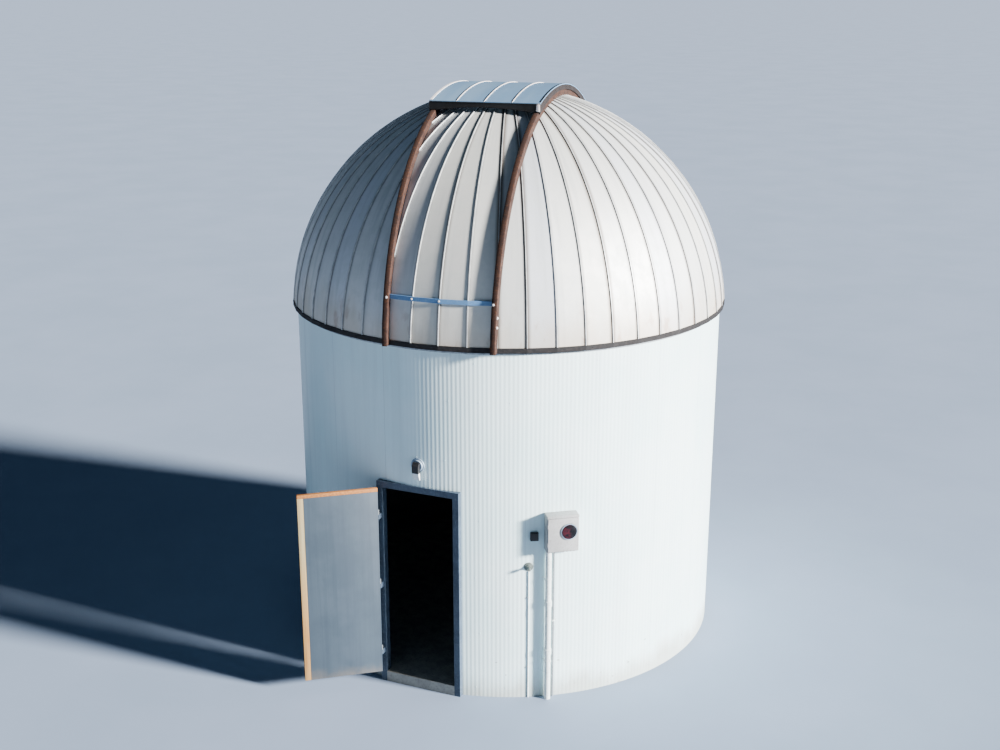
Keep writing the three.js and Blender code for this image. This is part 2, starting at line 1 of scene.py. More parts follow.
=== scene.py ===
# %% [markdown]
# # A small observatory with a turning dome
#
# The real building is a round wall of white corrugated sheet. A dome of fifty-two narrow metal
# strips turns on top of it, and a curved shutter slides over the dome on two rusty rails. The door
# stands open. The solid model of all this is already finished and packed. This notebook dresses
# it: fine shapes are built around the solids, and every surface gets a finish made of nodes.
#
# The first step loads the imported model and keeps its solids, because the fine shapes are built
# to fit inside them. Nothing that is added may reach outside it.

# %% Load the imported frame
import math

import bmesh
import bpy
from mathutils import Matrix, Vector


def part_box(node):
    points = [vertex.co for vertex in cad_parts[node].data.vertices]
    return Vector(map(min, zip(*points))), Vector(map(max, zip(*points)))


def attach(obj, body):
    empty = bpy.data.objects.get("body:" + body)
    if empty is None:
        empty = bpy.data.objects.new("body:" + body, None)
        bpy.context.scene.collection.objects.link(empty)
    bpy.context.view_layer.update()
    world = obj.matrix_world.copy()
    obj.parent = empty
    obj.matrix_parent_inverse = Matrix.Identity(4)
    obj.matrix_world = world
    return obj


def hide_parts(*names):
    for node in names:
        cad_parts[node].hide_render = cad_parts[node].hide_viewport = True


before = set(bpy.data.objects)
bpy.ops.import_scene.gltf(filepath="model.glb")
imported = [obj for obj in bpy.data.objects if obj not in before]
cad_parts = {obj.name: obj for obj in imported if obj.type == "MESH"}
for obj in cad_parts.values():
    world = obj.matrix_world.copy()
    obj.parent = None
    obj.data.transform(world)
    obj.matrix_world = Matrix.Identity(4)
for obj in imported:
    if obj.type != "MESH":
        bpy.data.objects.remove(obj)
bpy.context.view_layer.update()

# %% [markdown]
# ## Camera
#
# The camera stands seventeen metres from the middle of the building, a little above the top of the
# dome and to the right of the door. Its place, its target and its lens come from laying the
# outlines of a ball on a cylinder over the photograph. The perspective depends only on where the
# camera stands, and the lens only sets how much of the frame the building fills.

# %% Camera
CAMERA_PLACE = Vector((6.433, -15.266, 8.225))
CAMERA_TARGET = Vector((0.0, -0.28, 3.26))
LENS_MM = 47.5

camera = bpy.data.objects.new("camera", bpy.data.cameras.new("camera"))
camera.data.lens = LENS_MM
camera.location = CAMERA_PLACE
camera.rotation_euler = (CAMERA_TARGET - CAMERA_PLACE).to_track_quat("-Z", "Y").to_euler()
bpy.context.scene.collection.objects.link(camera)
bpy.context.scene.camera = camera
print("camera stands", round((CAMERA_TARGET - CAMERA_PLACE).length, 2), "m away")

# %% [markdown]
# ## Main sizes
#
# These repeat the sizes of the solids, in metres, because the fine shapes have to sit exactly
# where the solids are. Pieces that touch lie a hair apart, which is the seat. An azimuth runs from
# the door's side (-Y) towards +X. The dome has its own frame: its origin is the centre of the
# sphere, and it is turned a few degrees about the upright axis. In that frame n points along X, and
# the camera's side, the rear of the slit, is -Y.

# %% Sizes shared by several pieces
WALL_R = 2.687
WALL_INNER_R = 2.567
WALL_TOP = 4.225
FRAME_HALF = 0.525
HEAD_TOP = 2.595
SEAT = 0.0003
DOME_R = 2.75
SHEET_R = 2.738
SHEET_INNER_R = 2.72
DOME_CENTRE_Z = 4.133
DOME_TURN = math.radians(6.4)
GORES = 52
RING_BOTTOM = 4.26
RING_TOP = 4.315
RING_LOW = RING_BOTTOM - DOME_CENTRE_Z
SHELL_BOTTOM = RING_TOP - DOME_CENTRE_Z + SEAT
RAIL_N = 0.628
RAIL_HALF = 0.03
RAIL_FOOT_GAP = 0.002
RAIL_FOOT_R = SHEET_R + RAIL_FOOT_GAP
RAIL_TOP_R = 2.754

DOME_FRAME = Matrix.Translation((0, 0, DOME_CENTRE_Z)) @ Matrix.Rotation(DOME_TURN, 4, "Z")
DOME_DIRECTIONS = DOME_FRAME.to_3x3()


def polar(radius, azimuth, z=0.0):
    """A point at a radius and an azimuth."""
    return Vector((radius * math.sin(azimuth), -radius * math.cos(azimuth), z))


def evenly(start, end, steps):
    """Numbers from start to end in equal steps, with both ends."""
    return [start + (end - start) * i / steps for i in range(steps + 1)]


print("a gore is", round(math.degrees(2 * math.pi / GORES), 2), "degrees wide")

# %% [markdown]
# ## Helpers for meshes
#
# Every piece ends as one mesh with its object at the origin, so its place goes into its points.
# This helper makes the object, merges doubled points and turns the faces outwards. Shading is
# smooth, and edges sharper than an angle stay sharp, which suits folded sheet metal.

# %% Mesh helpers
MERGE_DISTANCE = 1e-6


def mesh_object(name, points, faces, sharp=30.0, place=None):
    mesh = bpy.data.meshes.new(name)
    mesh.from_pydata([tuple(p) for p in points], [], faces)
    if place is not None:
        mesh.transform(place)
    shape = bmesh.new()
    shape.from_mesh(mesh)
    bmesh.ops.remove_doubles(shape, verts=shape.verts, dist=MERGE_DISTANCE)
    bmesh.ops.recalc_face_normals(shape, faces=shape.faces)
    shape.to_mesh(mesh)
    shape.free()
    made = bpy.data.objects.new(name, mesh)
    bpy.context.scene.collection.objects.link(made)
    smooth(made, sharp)
    return made


def smooth(made, sharp):
    made.data.shade_smooth()
    made.data.set_sharp_from_angle(angle=math.radians(sharp))


print("mesh helpers are ready")

# %% [markdown]
# Most pieces here are closed bodies made in one of four ways: swept through stations, turned about
# an axis, a box with rounded edges, or a flat outline with a thickness. Each way gives points and
# faces, so that several bodies can go into one mesh.

# %% Shapes
def swept(stations, closed=False):
    """Points and faces of a closed outline carried through stations."""
    size = len(stations[0])
    count = len(stations)
    faces = []
    for s in range(count if closed else count - 1):
        after = (s + 1) % count
        for i in range(size):
            j = (i + 1) % size
            faces.append((s * size + i, s * size + j, after * size + j, after * size + i))
    if not closed:
        faces.append(tuple(range(size)))
        faces.append(tuple((count - 1) * size + i for i in reversed(range(size))))
    return [p for station in stations for p in station], faces


def turned(profile, sides):
    """Points and faces of a profile of (radius, z), turned about Z. Both ends lie on the axis."""
    rows = profile[1:-1]
    points = [Vector((0, 0, profile[0][1]))]
    for radius, z in rows:
        points += [polar(radius, 2 * math.pi * i / sides, z) for i in range(sides)]
    points.append(Vector((0, 0, profile[-1][1])))
    last = len(points) - 1
    faces = []
    for i in range(sides):
        j = (i + 1) % sides
        faces.append((0, 1 + i, 1 + j))
        for r in range(len(rows) - 1):
            a = 1 + r * sides
            faces.append((a + i, a + sides + i, a + sides + j, a + j))
        top = 1 + (len(rows) - 1) * sides
        faces.append((last, top + j, top + i))
    return points, faces


def rounded_box(low, high, radius, segments=2):
    """Points and faces of a box between two corners, with rounded edges."""
    shape = bmesh.new()
    bmesh.ops.create_cube(shape, size=1.0)
    low, high = Vector(low), Vector(high)
    for v in shape.verts:
        v.co = [l + (c + 0.5) * (h - l) for l, h, c in zip(low, high, v.co)]
    bmesh.ops.bevel(
        shape, geom=shape.edges[:], offset=radius, segments=segments, affect="EDGES", profile=0.5
    )
    shape.verts.index_update()
    points = [v.co.copy() for v in shape.verts]
    faces = [tuple(v.index for v in f.verts) for f in shape.faces]
    shape.free()
    return points, faces


def slab(outline, y0, y1):
    """Points and faces of an outline of (x, z) with a thickness along y."""
    return swept([[Vector((x, y, z)) for x, z in outline] for y in (y0, y1)])


def together(*parts):
    """Several bodies, each as points and faces, in one mesh."""
    points, faces = [], []
    for part_points, part_faces in parts:
        start = len(points)
        points += part_points
        faces += [tuple(start + i for i in face) for face in part_faces]
    return points, faces


def moved(part, place):
    return [place @ p for p in part[0]], part[1]


cube_points, cube_faces = rounded_box((0, 0, 0), (1, 1, 1), 0.1)
print("a rounded cube has", len(cube_points), "points and", len(cube_faces), "faces")

# %% [markdown]
# A finished piece gets its material and rides on its body, and the solids that it stands for are
# hidden. A solid that keeps its shape only gets a material.

# %% Helpers for finished pieces
def add_piece(made, body, slot, material, *replaced):
    """Gives a finished piece its material and its body, and hides the nodes that it stands for."""
    made.data.materials.clear()
    made.data.materials.append(material)
    register(made, body, slot, *replaced)


def register(made, body, slot, *replaced):
    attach(made, body)
    if replaced:
        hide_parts(*replaced)
    print(made.name, "rides on", body, "with", len(made.data.polygons), "faces")


def finish_solid(node, material):
    """Gives a solid that keeps its shape its material."""
    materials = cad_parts[node].data.materials
    materials.clear()
    materials.append(material)


print("helpers for finished pieces are ready")

# %% [markdown]
# ## Helpers for Geometry Nodes
#
# Corrugations, screws and seams repeat hundreds of times or follow a path, so trees of Geometry
# Nodes make them. A helper builds a tree from named inputs and another runs it on an object and
# keeps the plain mesh that comes out, because instances wouldn't be exported.

# %% Geometry Nodes helpers
def new_tree(name, inputs):
    tree = bpy.data.node_groups.new(name, "GeometryNodeTree")
    tree.interface.new_socket("Geometry", in_out="INPUT", socket_type="NodeSocketGeometry")
    for label, kind in inputs:
        tree.interface.new_socket(label, in_out="INPUT", socket_type="NodeSocket" + kind)
    tree.interface.new_socket("Geometry", in_out="OUTPUT", socket_type="NodeSocketGeometry")
    start = tree.nodes.new("NodeGroupInput").outputs
    end = tree.nodes.new("NodeGroupOutput").inputs["Geometry"]
    return tree, start, end


def tree_node(tree, kind, links=None, **settings):
    """A node of a tree; links gives a value or another node's socket for each named input."""
    made = tree.nodes.new(kind)
    for key, value in settings.items():
        setattr(made, key, value)
    for key, value in (links or {}).items():
        if isinstance(value, bpy.types.NodeSocket):
            tree.links.new(value, made.inputs[key])
        else:
            made.inputs[key].default_value = value
    return made


def close_tree(tree, geometry, material, end):
    """The last two nodes of a tree: real geometry instead of instances, and its material."""
    real = tree_node(tree, "GeometryNodeRealizeInstances", {"Geometry": geometry})
    painted = tree_node(
        tree, "GeometryNodeSetMaterial", {"Geometry": real.outputs[0], "Material": material}
    )
    tree.links.new(painted.outputs[0], end)


def run_tree(made, tree, values, sharp=30.0):
    """Runs a tree on an object and keeps the result as its plain mesh."""
    modifier = made.modifiers.new("tree", "NODES")
    modifier.node_group = tree
    for item in tree.interface.items_tree:
        if item.in_out == "INPUT" and item.name in values:
            modifier[item.identifier] = values[item.name]
    graph = bpy.context.evaluated_depsgraph_get()
    result = bpy.data.meshes.new_from_object(made.evaluated_get(graph), depsgraph=graph)
    made.modifiers.clear()
    made.data = result
    smooth(made, sharp)
    return made


print("tree helpers are ready")

# %% [markdown]
# Screws and bolts share one tree. Python gives the points, each with the direction that its head
# faces, and the tree puts a head on every point, turned by a random angle about its own axis as
# real ones are. The head is a small six-sided body with a washer, so hundreds of them stay light.

# %% Tree for screws and bolts
SCREW_SEED = 7
HEAD_PROFILE = [(0, -0.2), (1.0, -0.2), (1.0, 0.12), (0.62, 0.16), (0.58, 0.62), (0, 0.68)]
HEAD_SIDES = 6

screw_tree, start, end = new_tree(
    "heads_on_points", [("Head", "Object"), ("Size", "Float"), ("Material", "Material")]
)
head = tree_node(screw_tree, "GeometryNodeObjectInfo", {"Object": start["Head"]})
facing = tree_node(
    screw_tree, "GeometryNodeInputNamedAttribute", {"Name": "facing"}, data_type="FLOAT_VECTOR"
)
aligned = tree_node(
    screw_tree, "FunctionNodeAlignRotationToVector", {"Vector": facing.outputs["Attribute"]}, axis="Z"
)
spin = tree_node(
    screw_tree, "FunctionNodeRandomValue",
    {"Min": (0, 0, 0), "Max": (0, 0, 2 * math.pi), "Seed": SCREW_SEED}, data_type="FLOAT_VECTOR",
)
spin_turn = tree_node(screw_tree, "FunctionNodeEulerToRotation", {"Euler": spin.outputs["Value"]})
turned_head = tree_node(
    screw_tree, "FunctionNodeRotateRotation",
    {"Rotation": aligned.outputs[0], "Rotate By": spin_turn.outputs[0]}, rotation_space="LOCAL",
)
placed = tree_node(
    screw_tree, "GeometryNodeInstanceOnPoints",
    {
        "Points": start["Geometry"], "Instance": head.outputs["Geometry"],
        "Rotation": turned_head.outputs[0], "Scale": start["Size"],
    },
)
close_tree(screw_tree, placed.outputs[0], start["Material"], end)


def bolt_head():
    """A washer and a six-sided head, one metre in radius before the tree scales them."""
    return mesh_object("bolt_head", *turned(HEAD_PROFILE, HEAD_SIDES))


def heads_on(name, places, size, material):
    """One mesh of heads at places, which are pairs of a point and the direction a head faces."""
    made = mesh_object(name, [], [])
    made.data.from_pydata([tuple(p) for p, _ in places], [], [])
    directions = made.data.attributes.new("facing", "FLOAT_VECTOR", "POINT")
    directions.data.foreach_set("vector", [c for _, d in places for c in d])
    shape = bolt_head()
    run_tree(made, screw_tree, {"Head": shape, "Size": size, "Material": material})
    bpy.data.objects.remove(shape)
    return made


print("heads_on_points has", len(screw_tree.nodes), "nodes")

# %% [markdown]
# Standing seams, where two strips of sheet are folded up and over each other, are bars that follow
# a path. This tree turns edges into curves, keeps the bar upright on the surface by taking the
# curve's normal level with the ground, and sweeps a small rectangle along.

# %% Tree for seams that follow a path
seam_tree, start, end = new_tree(
    "bars_on_paths", [("Width", "Float"), ("Height", "Float"), ("Material", "Material")]
)
paths = tree_node(seam_tree, "GeometryNodeMeshToCurve", {"Mesh": start["Geometry"]})
level = tree_node(seam_tree, "GeometryNodeSetCurveNormal", {"Curve": paths.outputs[0]}, mode="Z_UP")
section = tree_node(
    seam_tree, "GeometryNodeCurvePrimitiveQuadrilateral",
    {"Width": start["Width"], "Height": start["Height"]},
)
bars = tree_node(
    seam_tree, "GeometryNodeCurveToMesh",
    {"Curve": level.outputs[0], "Profile Curve": section.outputs[0], "Fill Caps": True},
)
close_tree(seam_tree, bars.outputs[0], start["Material"], end)


def bars_along(name, lines, width, height, material):
    """One mesh of bars, one along each line of points."""
    made = mesh_object(name, [], [])
    points = [tuple(p) for line in lines for p in line]
    edges, first = [], 0
    for line in lines:
        edges += [(first + i, first + i + 1) for i in range(len(line) - 1)]
        first += len(line)
    made.data.from_pydata(points, edges, [])
    return run_tree(made, seam_tree, {"Width": width, "Height": height, "Material": material})


print("bars_on_paths has", len(seam_tree.nodes), "nodes")

# %% [markdown]
# The corrugation of the wall is a rule too: the sheet's distance from the axis follows a cosine of
# the azimuth. Modelling each wave by hand would be endless, and a bump in the material wouldn't
# change the outline. So the tree moves the outer points of a plain round wall inwards by a wave.

# %% Tree for corrugations round an axis
wave_tree, start, end = new_tree(
    "corrugations", [("Waves", "Float"), ("Depth", "Float"), ("Material", "Material")]
)


def tree_math(tree, operation, a, b=0.0):
    made = tree.nodes.new("ShaderNodeMath")
    made.operation = operation
    for socket, value in zip(made.inputs, (a, b)):
        if isinstance(value, bpy.types.NodeSocket):
            tree.links.new(value, socket)
        else:
            socket.default_value = value
    return made.outputs[0]


where = tree_node(wave_tree, "GeometryNodeInputPosition")
parts = tree_node(wave_tree, "ShaderNodeSeparateXYZ", {"Vector": where.outputs[0]})
flip = tree_math(wave_tree, "MULTIPLY", parts.outputs["Y"], -1.0)
azimuth = tree_math(wave_tree, "ARCTAN2", parts.outputs["X"], flip)
phase = tree_math(wave_tree, "MULTIPLY", azimuth, start["Waves"])
cosine = tree_math(wave_tree, "COSINE", phase)
below_crest = tree_math(wave_tree, "MULTIPLY", tree_math(wave_tree, "SUBTRACT", cosine, 1.0), 0.5)
outer_side = tree_node(wave_tree, "GeometryNodeInputNamedAttribute", {"Name": "outer"}, data_type="FLOAT")
depth_here = tree_math(wave_tree, "MULTIPLY", below_crest, start["Depth"])
amount = tree_math(wave_tree, "MULTIPLY", depth_here, outer_side.outputs["Attribute"])
flat = tree_node(wave_tree, "ShaderNodeCombineXYZ", {"X": parts.outputs["X"], "Y": parts.outputs["Y"]})
away = tree_node(wave_tree, "ShaderNodeVectorMath", {0: flat.outputs[0]}, operation="NORMALIZE")
shift = tree_node(
    wave_tree, "ShaderNodeVectorMath", {0: away.outputs[0], "Scale": amount}, operation="SCALE"
)
waved = tree_node(
    wave_tree, "GeometryNodeSetPosition", {"Geometry": start["Geometry"], "Offset": shift.outputs[0]}
)
close_tree(wave_tree, waved.outputs[0], start["Material"], end)
print("corrugations has", len(wave_tree.nodes), "nodes")

# %% [markdown]
# ## Finishes
#
# Each finish is a tree of shader nodes on Object coordinates, which don't slide when a piece
# moves. Noise stretched along one axis makes streaks, noise of two sizes makes blotches, and the
# height above the ground places the dirt. Writing the links by hand is long, so a small class
# keeps the calls short. A ramp turns a noise or a height into a share from 0 to 1, and a mix lays
# one colour over another by that share. Colours are given as a painter would read them off a
# chart, from 0 to 255.

# %% Shader helpers
NOISE_ROUGHNESS = 0.6


def paint(red, green, blue):
    """A colour from a chart, as the light that a shader works with."""
    def linear(c):
        c /= 255
        return c / 12.92 if c <= 0.04045 else ((c + 0.055) / 1.055) ** 2.4

    return (linear(red), linear(green), linear(blue), 1.0)


class Finish:
    """One material, with short calls for the nodes that the finishes here are made of."""

    def __init__(self, name, roughness, metallic=0.0):
        self.material = bpy.data.materials.new(name)
        self.material.use_nodes = True
        self.tree = self.material.node_tree
        self.shader = self.tree.nodes["Principled BSDF"]
        self.shader.inputs["Roughness"].default_value = roughness
        self.shader.inputs["Metallic"].default_value = metallic
        self.place = self.tree.nodes.new("ShaderNodeTexCoord").outputs["Object"]

    def node(self, kind, links, **settings):
        return tree_node(self.tree, kind, links, **settings)

    def math(self, operation, a, b=0.0):
        return tree_math(self.tree, operation, a, b)

    def axes(self, place=None):
        return self.node("ShaderNodeSeparateXYZ", {"Vector": place or self.place}).outputs

    def noise(self, scale, stretch=(1, 1, 1), detail=4.0, place=None):
        """Noise from 0 to 1. A large stretch along an axis makes it change fast that way."""
        links = {"Vector": place or self.place, "Scale": stretch}
        mapped = self.node("ShaderNodeMapping", links).outputs[0]
        links = {"Vector": mapped, "Scale": scale, "Detail": detail, "Roughness": NOISE_ROUGHNESS}
        return self.node("ShaderNodeTexNoise", links).outputs["Fac"]

    def ramp(self, value, low, high, to_low=0.0, to_high=1.0):
        """A soft step between two limits. The first may be the higher one, and then it falls."""
        links = {"Value": value, 1: low, 2: high, 3: to_low, 4: to_high}
        return self.node("ShaderNodeMapRange", links, interpolation_type="SMOOTHSTEP").outputs[0]

    def mix(self, share, a, b):
        """Colour b over colour a by a share."""
        return self.node("ShaderNodeMix", {0: share, 6: a, 7: b}, data_type="RGBA").outputs[2]

    def over(self, cover, strength, a, b):
        """Colour b over colour a by a cover that is weakened to a strength."""
        return self.mix(self.math("MULTIPLY", cover, strength), a, b)

    def colour(self, value):
        self.tree.links.new(value, self.shader.inputs["Base Color"])

    def rough(self, value):
        self.tree.links.new(value, self.shader.inputs["Roughness"])

    def bump(self, height, depth, strength):
        made = self.node("ShaderNodeBump", {"Height": height, "Distance": depth, "Strength": strength})
        self.tree.links.new(made.outputs[0], self.shader.inputs["Normal"])


print("a mid grey is", tuple(round(c, 3) for c in paint(128, 128, 128)))

# %% [markdown]
# The wall's paint is white with a cool cast. Rain has left faint upright streaks, splashes have
# darkened the foot, and a few scuffs lie low on the wall. Every seventeenth groove has the thin
# shadow line of a lap between sheets.

# %% White paint on the corrugated wall
WAVES = 340
LAP_WAVES = 17
LAP_EDGE, LAP_CORE = 0.005, 0.002
SPLASH_TOP, SPLASH_FULL = 0.12, -0.22
SCUFF_TOP, SCUFF_FULL = 1.1, 0.2

f = Finish("white_wall_paint", 0.42)
x, y, z = f.axes()
streak = f.ramp(f.noise(1.0, (7, 7, 0.35)), 0.42, 0.72)
blotch = f.ramp(f.noise(0.9), 0.35, 0.7)
clean = f.mix(blotch, paint(232, 253, 255), paint(219, 247, 250))
streaked = f.over(streak, 0.4, clean, paint(208, 226, 230))
azimuth = f.math("ARCTAN2", x, f.math("MULTIPLY", y, -1.0))
turn_share = f.math("MULTIPLY", azimuth, WAVES / LAP_WAVES / (2 * math.pi))
from_lap = f.math("ABSOLUTE", f.math("SUBTRACT", f.math("FRACT", turn_share), 0.5))
lap = f.ramp(from_lap, LAP_EDGE, LAP_CORE)
lapped = f.over(lap, 0.3, streaked, paint(120, 140, 150))
splash_height = f.math("SUBTRACT", z, f.math("MULTIPLY", f.noise(3.0, (1, 1, 0.4)), 0.55))
splash = f.ramp(splash_height, SPLASH_TOP, SPLASH_FULL)
muddy = f.over(splash, 0.55, lapped, paint(150, 140, 122))
scuff_spots = f.ramp(f.noise(9.0, (1, 1, 1.6), 2.0), 0.70, 0.76)
scuff = f.math("MULTIPLY", scuff_spots, f.ramp(z, SCUFF_TOP, SCUFF_FULL))
f.colour(f.over(scuff, 0.6, muddy, paint(92, 84, 74)))
f.rough(f.ramp(streak, 0, 1, 0.38, 0.55))
f.bump(f.noise(60.0, detail=2.0), 0.0006, 0.5)
WALL_PAINT = f.material

f = Finish("lining_paint", 0.8)
f.colour(f.mix(f.ramp(f.noise(1.5), 0.35, 0.7), paint(118, 118, 114), paint(98, 99, 97)))
f.bump(f.noise(80.0), 0.001, 0.4)
LINING = f.material
print(WALL_PAINT.name, "and", LINING.name)

# %% [markdown]
# The dome's strips are weathered zinc sheet. Each strip has its own tone, because the sheets came
# from different coils, so the strip's number feeds a white noise. A dark band beside each seam is
# partly dirt and partly painted shade of the standing seam, wider and browner at some seams than
# at others, and rust has crept up from the ring. The number and the distance to a seam come from
# the azimuth in the dome's own frame, which a Mapping node gives.

# %% Weathered sheet of the dome
STREAKS_AROUND = 26.0
LOW_TOP, LOW_FULL = 0.25, -0.35
RUST_TOP, RUST_FULL = 0.75, 0.22
DIRT_AND_SHADE_CORE, DIRT_AND_SHADE_NARROW, DIRT_AND_SHADE_WIDE = 0.004, 0.036, 0.058


def dome_place(f):
    """Object coordinates in the dome's own frame."""
    return f.node(
        "ShaderNodeMapping",
        {"Vector": f.place, "Location": (0, 0, DOME_CENTRE_Z), "Rotation": (0, 0, DOME_TURN)},
        vector_type="TEXTURE",
    ).outputs[0]


def own_tone(f, number):
    """A tone from 0 to 1 that belongs to a number."""
    return f.node("ShaderNodeTexWhiteNoise", {"W": number}, noise_dimensions="1D").outputs["Value"]


f = Finish("weathered_dome_sheet", 0.5, 0.42)
x, y, z = f.axes(dome_place(f))
azimuth = f.math("ARCTAN2", x, f.math("MULTIPLY", y, -1.0))
strip = f.math("MULTIPLY", azimuth, GORES / (2 * math.pi))
number = f.math("FLOOR", strip)
tone = own_tone(f, number)
from_middle = f.math("ABSOLUTE", f.math("SUBTRACT", f.math("FRACT", strip), 0.5))
flat_radius = f.math("SQRT", f.math("ADD", f.math("MULTIPLY", x, x), f.math("MULTIPLY", y, y)))
strip_width = f.math("MULTIPLY", flat_radius, 2 * math.pi / GORES)
from_seam = f.math("MULTIPLY", f.math("SUBTRACT", 0.5, from_middle), strip_width)
tint_tone = own_tone(f, f.math("ADD", number, 0.5))
coil = f.mix(tone, paint(228, 229, 227), paint(207, 210, 213))
sheet = f.mix(0.45, coil, f.mix(tint_tone, paint(216, 223, 236), paint(233, 229, 214)))
around = f.math("MULTIPLY", azimuth, STREAKS_AROUND)
streak_place = f.node("ShaderNodeCombineXYZ", {"X": around, "Y": tone, "Z": z}).outputs[0]
streak = f.ramp(f.noise(1.0, (1, 9, 0.8), 5.0, streak_place), 0.45, 0.75)
streaked = f.over(streak, 0.42, sheet, paint(176, 181, 181))
mottle = f.ramp(f.noise(5.0), 0.42, 0.62)
mottled = f.over(mottle, 0.22, streaked, paint(190, 196, 190))
low_height = f.math("SUBTRACT", z, f.math("MULTIPLY", f.noise(2.2, (1, 1, 0.5)), 0.9))
low = f.ramp(low_height, LOW_TOP, LOW_FULL)
stained = f.over(low, 0.5, mottled, paint(196, 176, 148))
rust_spots = f.ramp(f.noise(7.0, (1, 1, 0.5), 6.0), 0.56, 0.68)
rust = f.math("MULTIPLY", rust_spots, f.ramp(z, RUST_TOP, RUST_FULL))
rusted = f.over(rust, 0.38, stained, paint(150, 104, 66))
seam_tone = own_tone(f, f.math("ROUND", strip))
# Beside each seam lies one dark band: partly dirt, partly painted shade of the standing seam.
dirt_and_shade_reach = f.ramp(seam_tone, 0.3, 1, DIRT_AND_SHADE_NARROW, DIRT_AND_SHADE_WIDE)
dirt_and_shade_strength = f.ramp(seam_tone, 0, 1, 0.5, 0.95)
seam_dirt_and_shade = f.math("MULTIPLY", f.ramp(from_seam, dirt_and_shade_reach, DIRT_AND_SHADE_CORE), dirt_and_shade_strength)
seam_dirt_and_shade_colour = f.mix(seam_tone, paint(56, 60, 68), paint(88, 70, 54))
f.colour(f.mix(seam_dirt_and_shade, rusted, seam_dirt_and_shade_colour))
f.rough(f.ramp(mottle, 0, 1, 0.54, 0.58))
f.bump(f.noise(1.6, (1, 1, 0.6), 2.0), 0.004, 0.2)
DOME_SHEET = f.material

f = Finish("seam_sheet", 0.45, 0.3)
seam_wear = f.ramp(f.noise(6.0, (1, 1, 1), 5.0), 0.4, 0.7)
f.colour(f.mix(seam_wear, paint(214, 216, 214), paint(172, 176, 178)))
f.bump(f.noise(40.0, detail=2.0), 0.001, 0.4)
SEAM_SHEET = f.material
print(DOME_SHEET.name, "and", SEAM_SHEET.name)

# %% [markdown]
# The other metals: rust on the rails and the shutter's sides, dark steel on the ring and the
# shutter's end plates, and zinc on the shutter whose blue is partly a painted reflection of the
# sky. Pale paint covers the larger bolts and is also a painted highlight on the shutter's left
# edge, seams and rear right corner. Dark steel is also a painted shadow beside the shutter's
# seams. Blue paint covers the stop strap, and zinc the small hardware.

# %% Rust, dark steel, zinc and the shutter's sheet
def blotched(name, first, second, third, scale, roughness, metallic=0.0, grain=0.001):
    """Three colours broken into each other by a large and a small noise, with a fine bump."""
    f = Finish(name, roughness, metallic)
    large = f.ramp(f.noise(scale, detail=6.0), 0.38, 0.64)
    small = f.ramp(f.noise(scale * 6, detail=4.0), 0.5, 0.66)
    f.colour(f.over(small, 0.7, f.mix(large, first, second), third))
    f.rough(f.ramp(large, 0, 1, roughness, min(1.0, roughness + 0.15)))
    f.bump(f.noise(scale * 12, detail=3.0), grain, 0.6)
    return f.material


RUST = blotched("rusty_rail", paint(48, 23, 10), paint(32, 13, 8), paint(84, 47, 20), 9.0, 0.82, 0.1)
DARK_RUST = blotched(
    "rusty_side_plate", paint(22, 13, 13), paint(15, 9, 10), paint(34, 21, 20), 6.0, 0.8, 0.1
)
RING_STEEL = blotched(
    "ring_steel", paint(19, 17, 18), paint(26, 23, 24), paint(43, 37, 35), 5.0, 0.65, 0.2
)
ZINC = blotched(
    "dull_zinc", paint(168, 174, 178), paint(146, 152, 156), paint(190, 194, 196), 20.0, 0.4, 0.75
)
# Dark steel of the lips and the right trim, also used as the painted shadow beside the shutter's seams.
DARK_STEEL_AND_SHADOW = blotched(
    "dark_lip_steel_and_painted_shadow", paint(16, 16, 17), paint(12, 12, 13), paint(26, 26, 26), 7.0, 0.65, 0.2
)
# Pale paint for the larger bolts, also used as a painted highlight on the shutter's left edge, seams and
# rear right corner.
PALE_PAINT_AND_HIGHLIGHT = blotched(
    "pale_paint_and_painted_highlight", paint(232, 228, 226), paint(220, 212, 210), paint(190, 170, 156), 6.0, 0.45
)
STRAP_PAINT = blotched(
    "strap_paint", paint(94, 135, 177), paint(82, 124, 168), paint(116, 149, 182), 8.0, 0.45
)

f = Finish("shutter_zinc_with_painted_sky", 0.45, 0.25)
local = dome_place(f)
tone = f.ramp(f.noise(1.3, (3.0, 0.4, 0.4), 2.0, local), 0.35, 0.65)
# The sheet's blue cast is partly a painted reflection of the blue sky.
sheet = f.mix(tone, paint(118, 152, 184), paint(131, 162, 190))
film = f.ramp(f.noise(5.0, (1.6, 0.5, 0.5), 5.0, local), 0.45, 0.72)
filmed = f.over(film, 0.35, sheet, paint(103, 129, 154))
spots = f.ramp(f.noise(46.0, detail=2.0), 0.64, 0.72)
f.colour(f.over(spots, 0.35, filmed, paint(120, 120, 118)))
f.rough(f.ramp(film, 0, 1, 0.4, 0.58))
f.bump(f.noise(1.8, (1, 1, 1), 2.0), 0.01, 0.3)
SHUTTER_ZINC_AND_SKY = f.material
print(len(bpy.data.materials), "materials so far")

# %% [markdown]
# Wood, door paint, frame paint, concrete and the small fittings complete the list. The wood's
# grain is noise stretched along the board. The board on the door's free edge runs upright and is
# greyer towards its top. The door paint's dark slate is partly painted shade of the open leaf. The
# meter's glass is dark, with a red tint on its left side.

# %% Wood, paints, concrete and plastics
METER_AZ = 35.6
RED_LEFT, RED_RIGHT = 0.05, 0.1
GREY_FROM, GREY_FULL = 0.9, 1.9

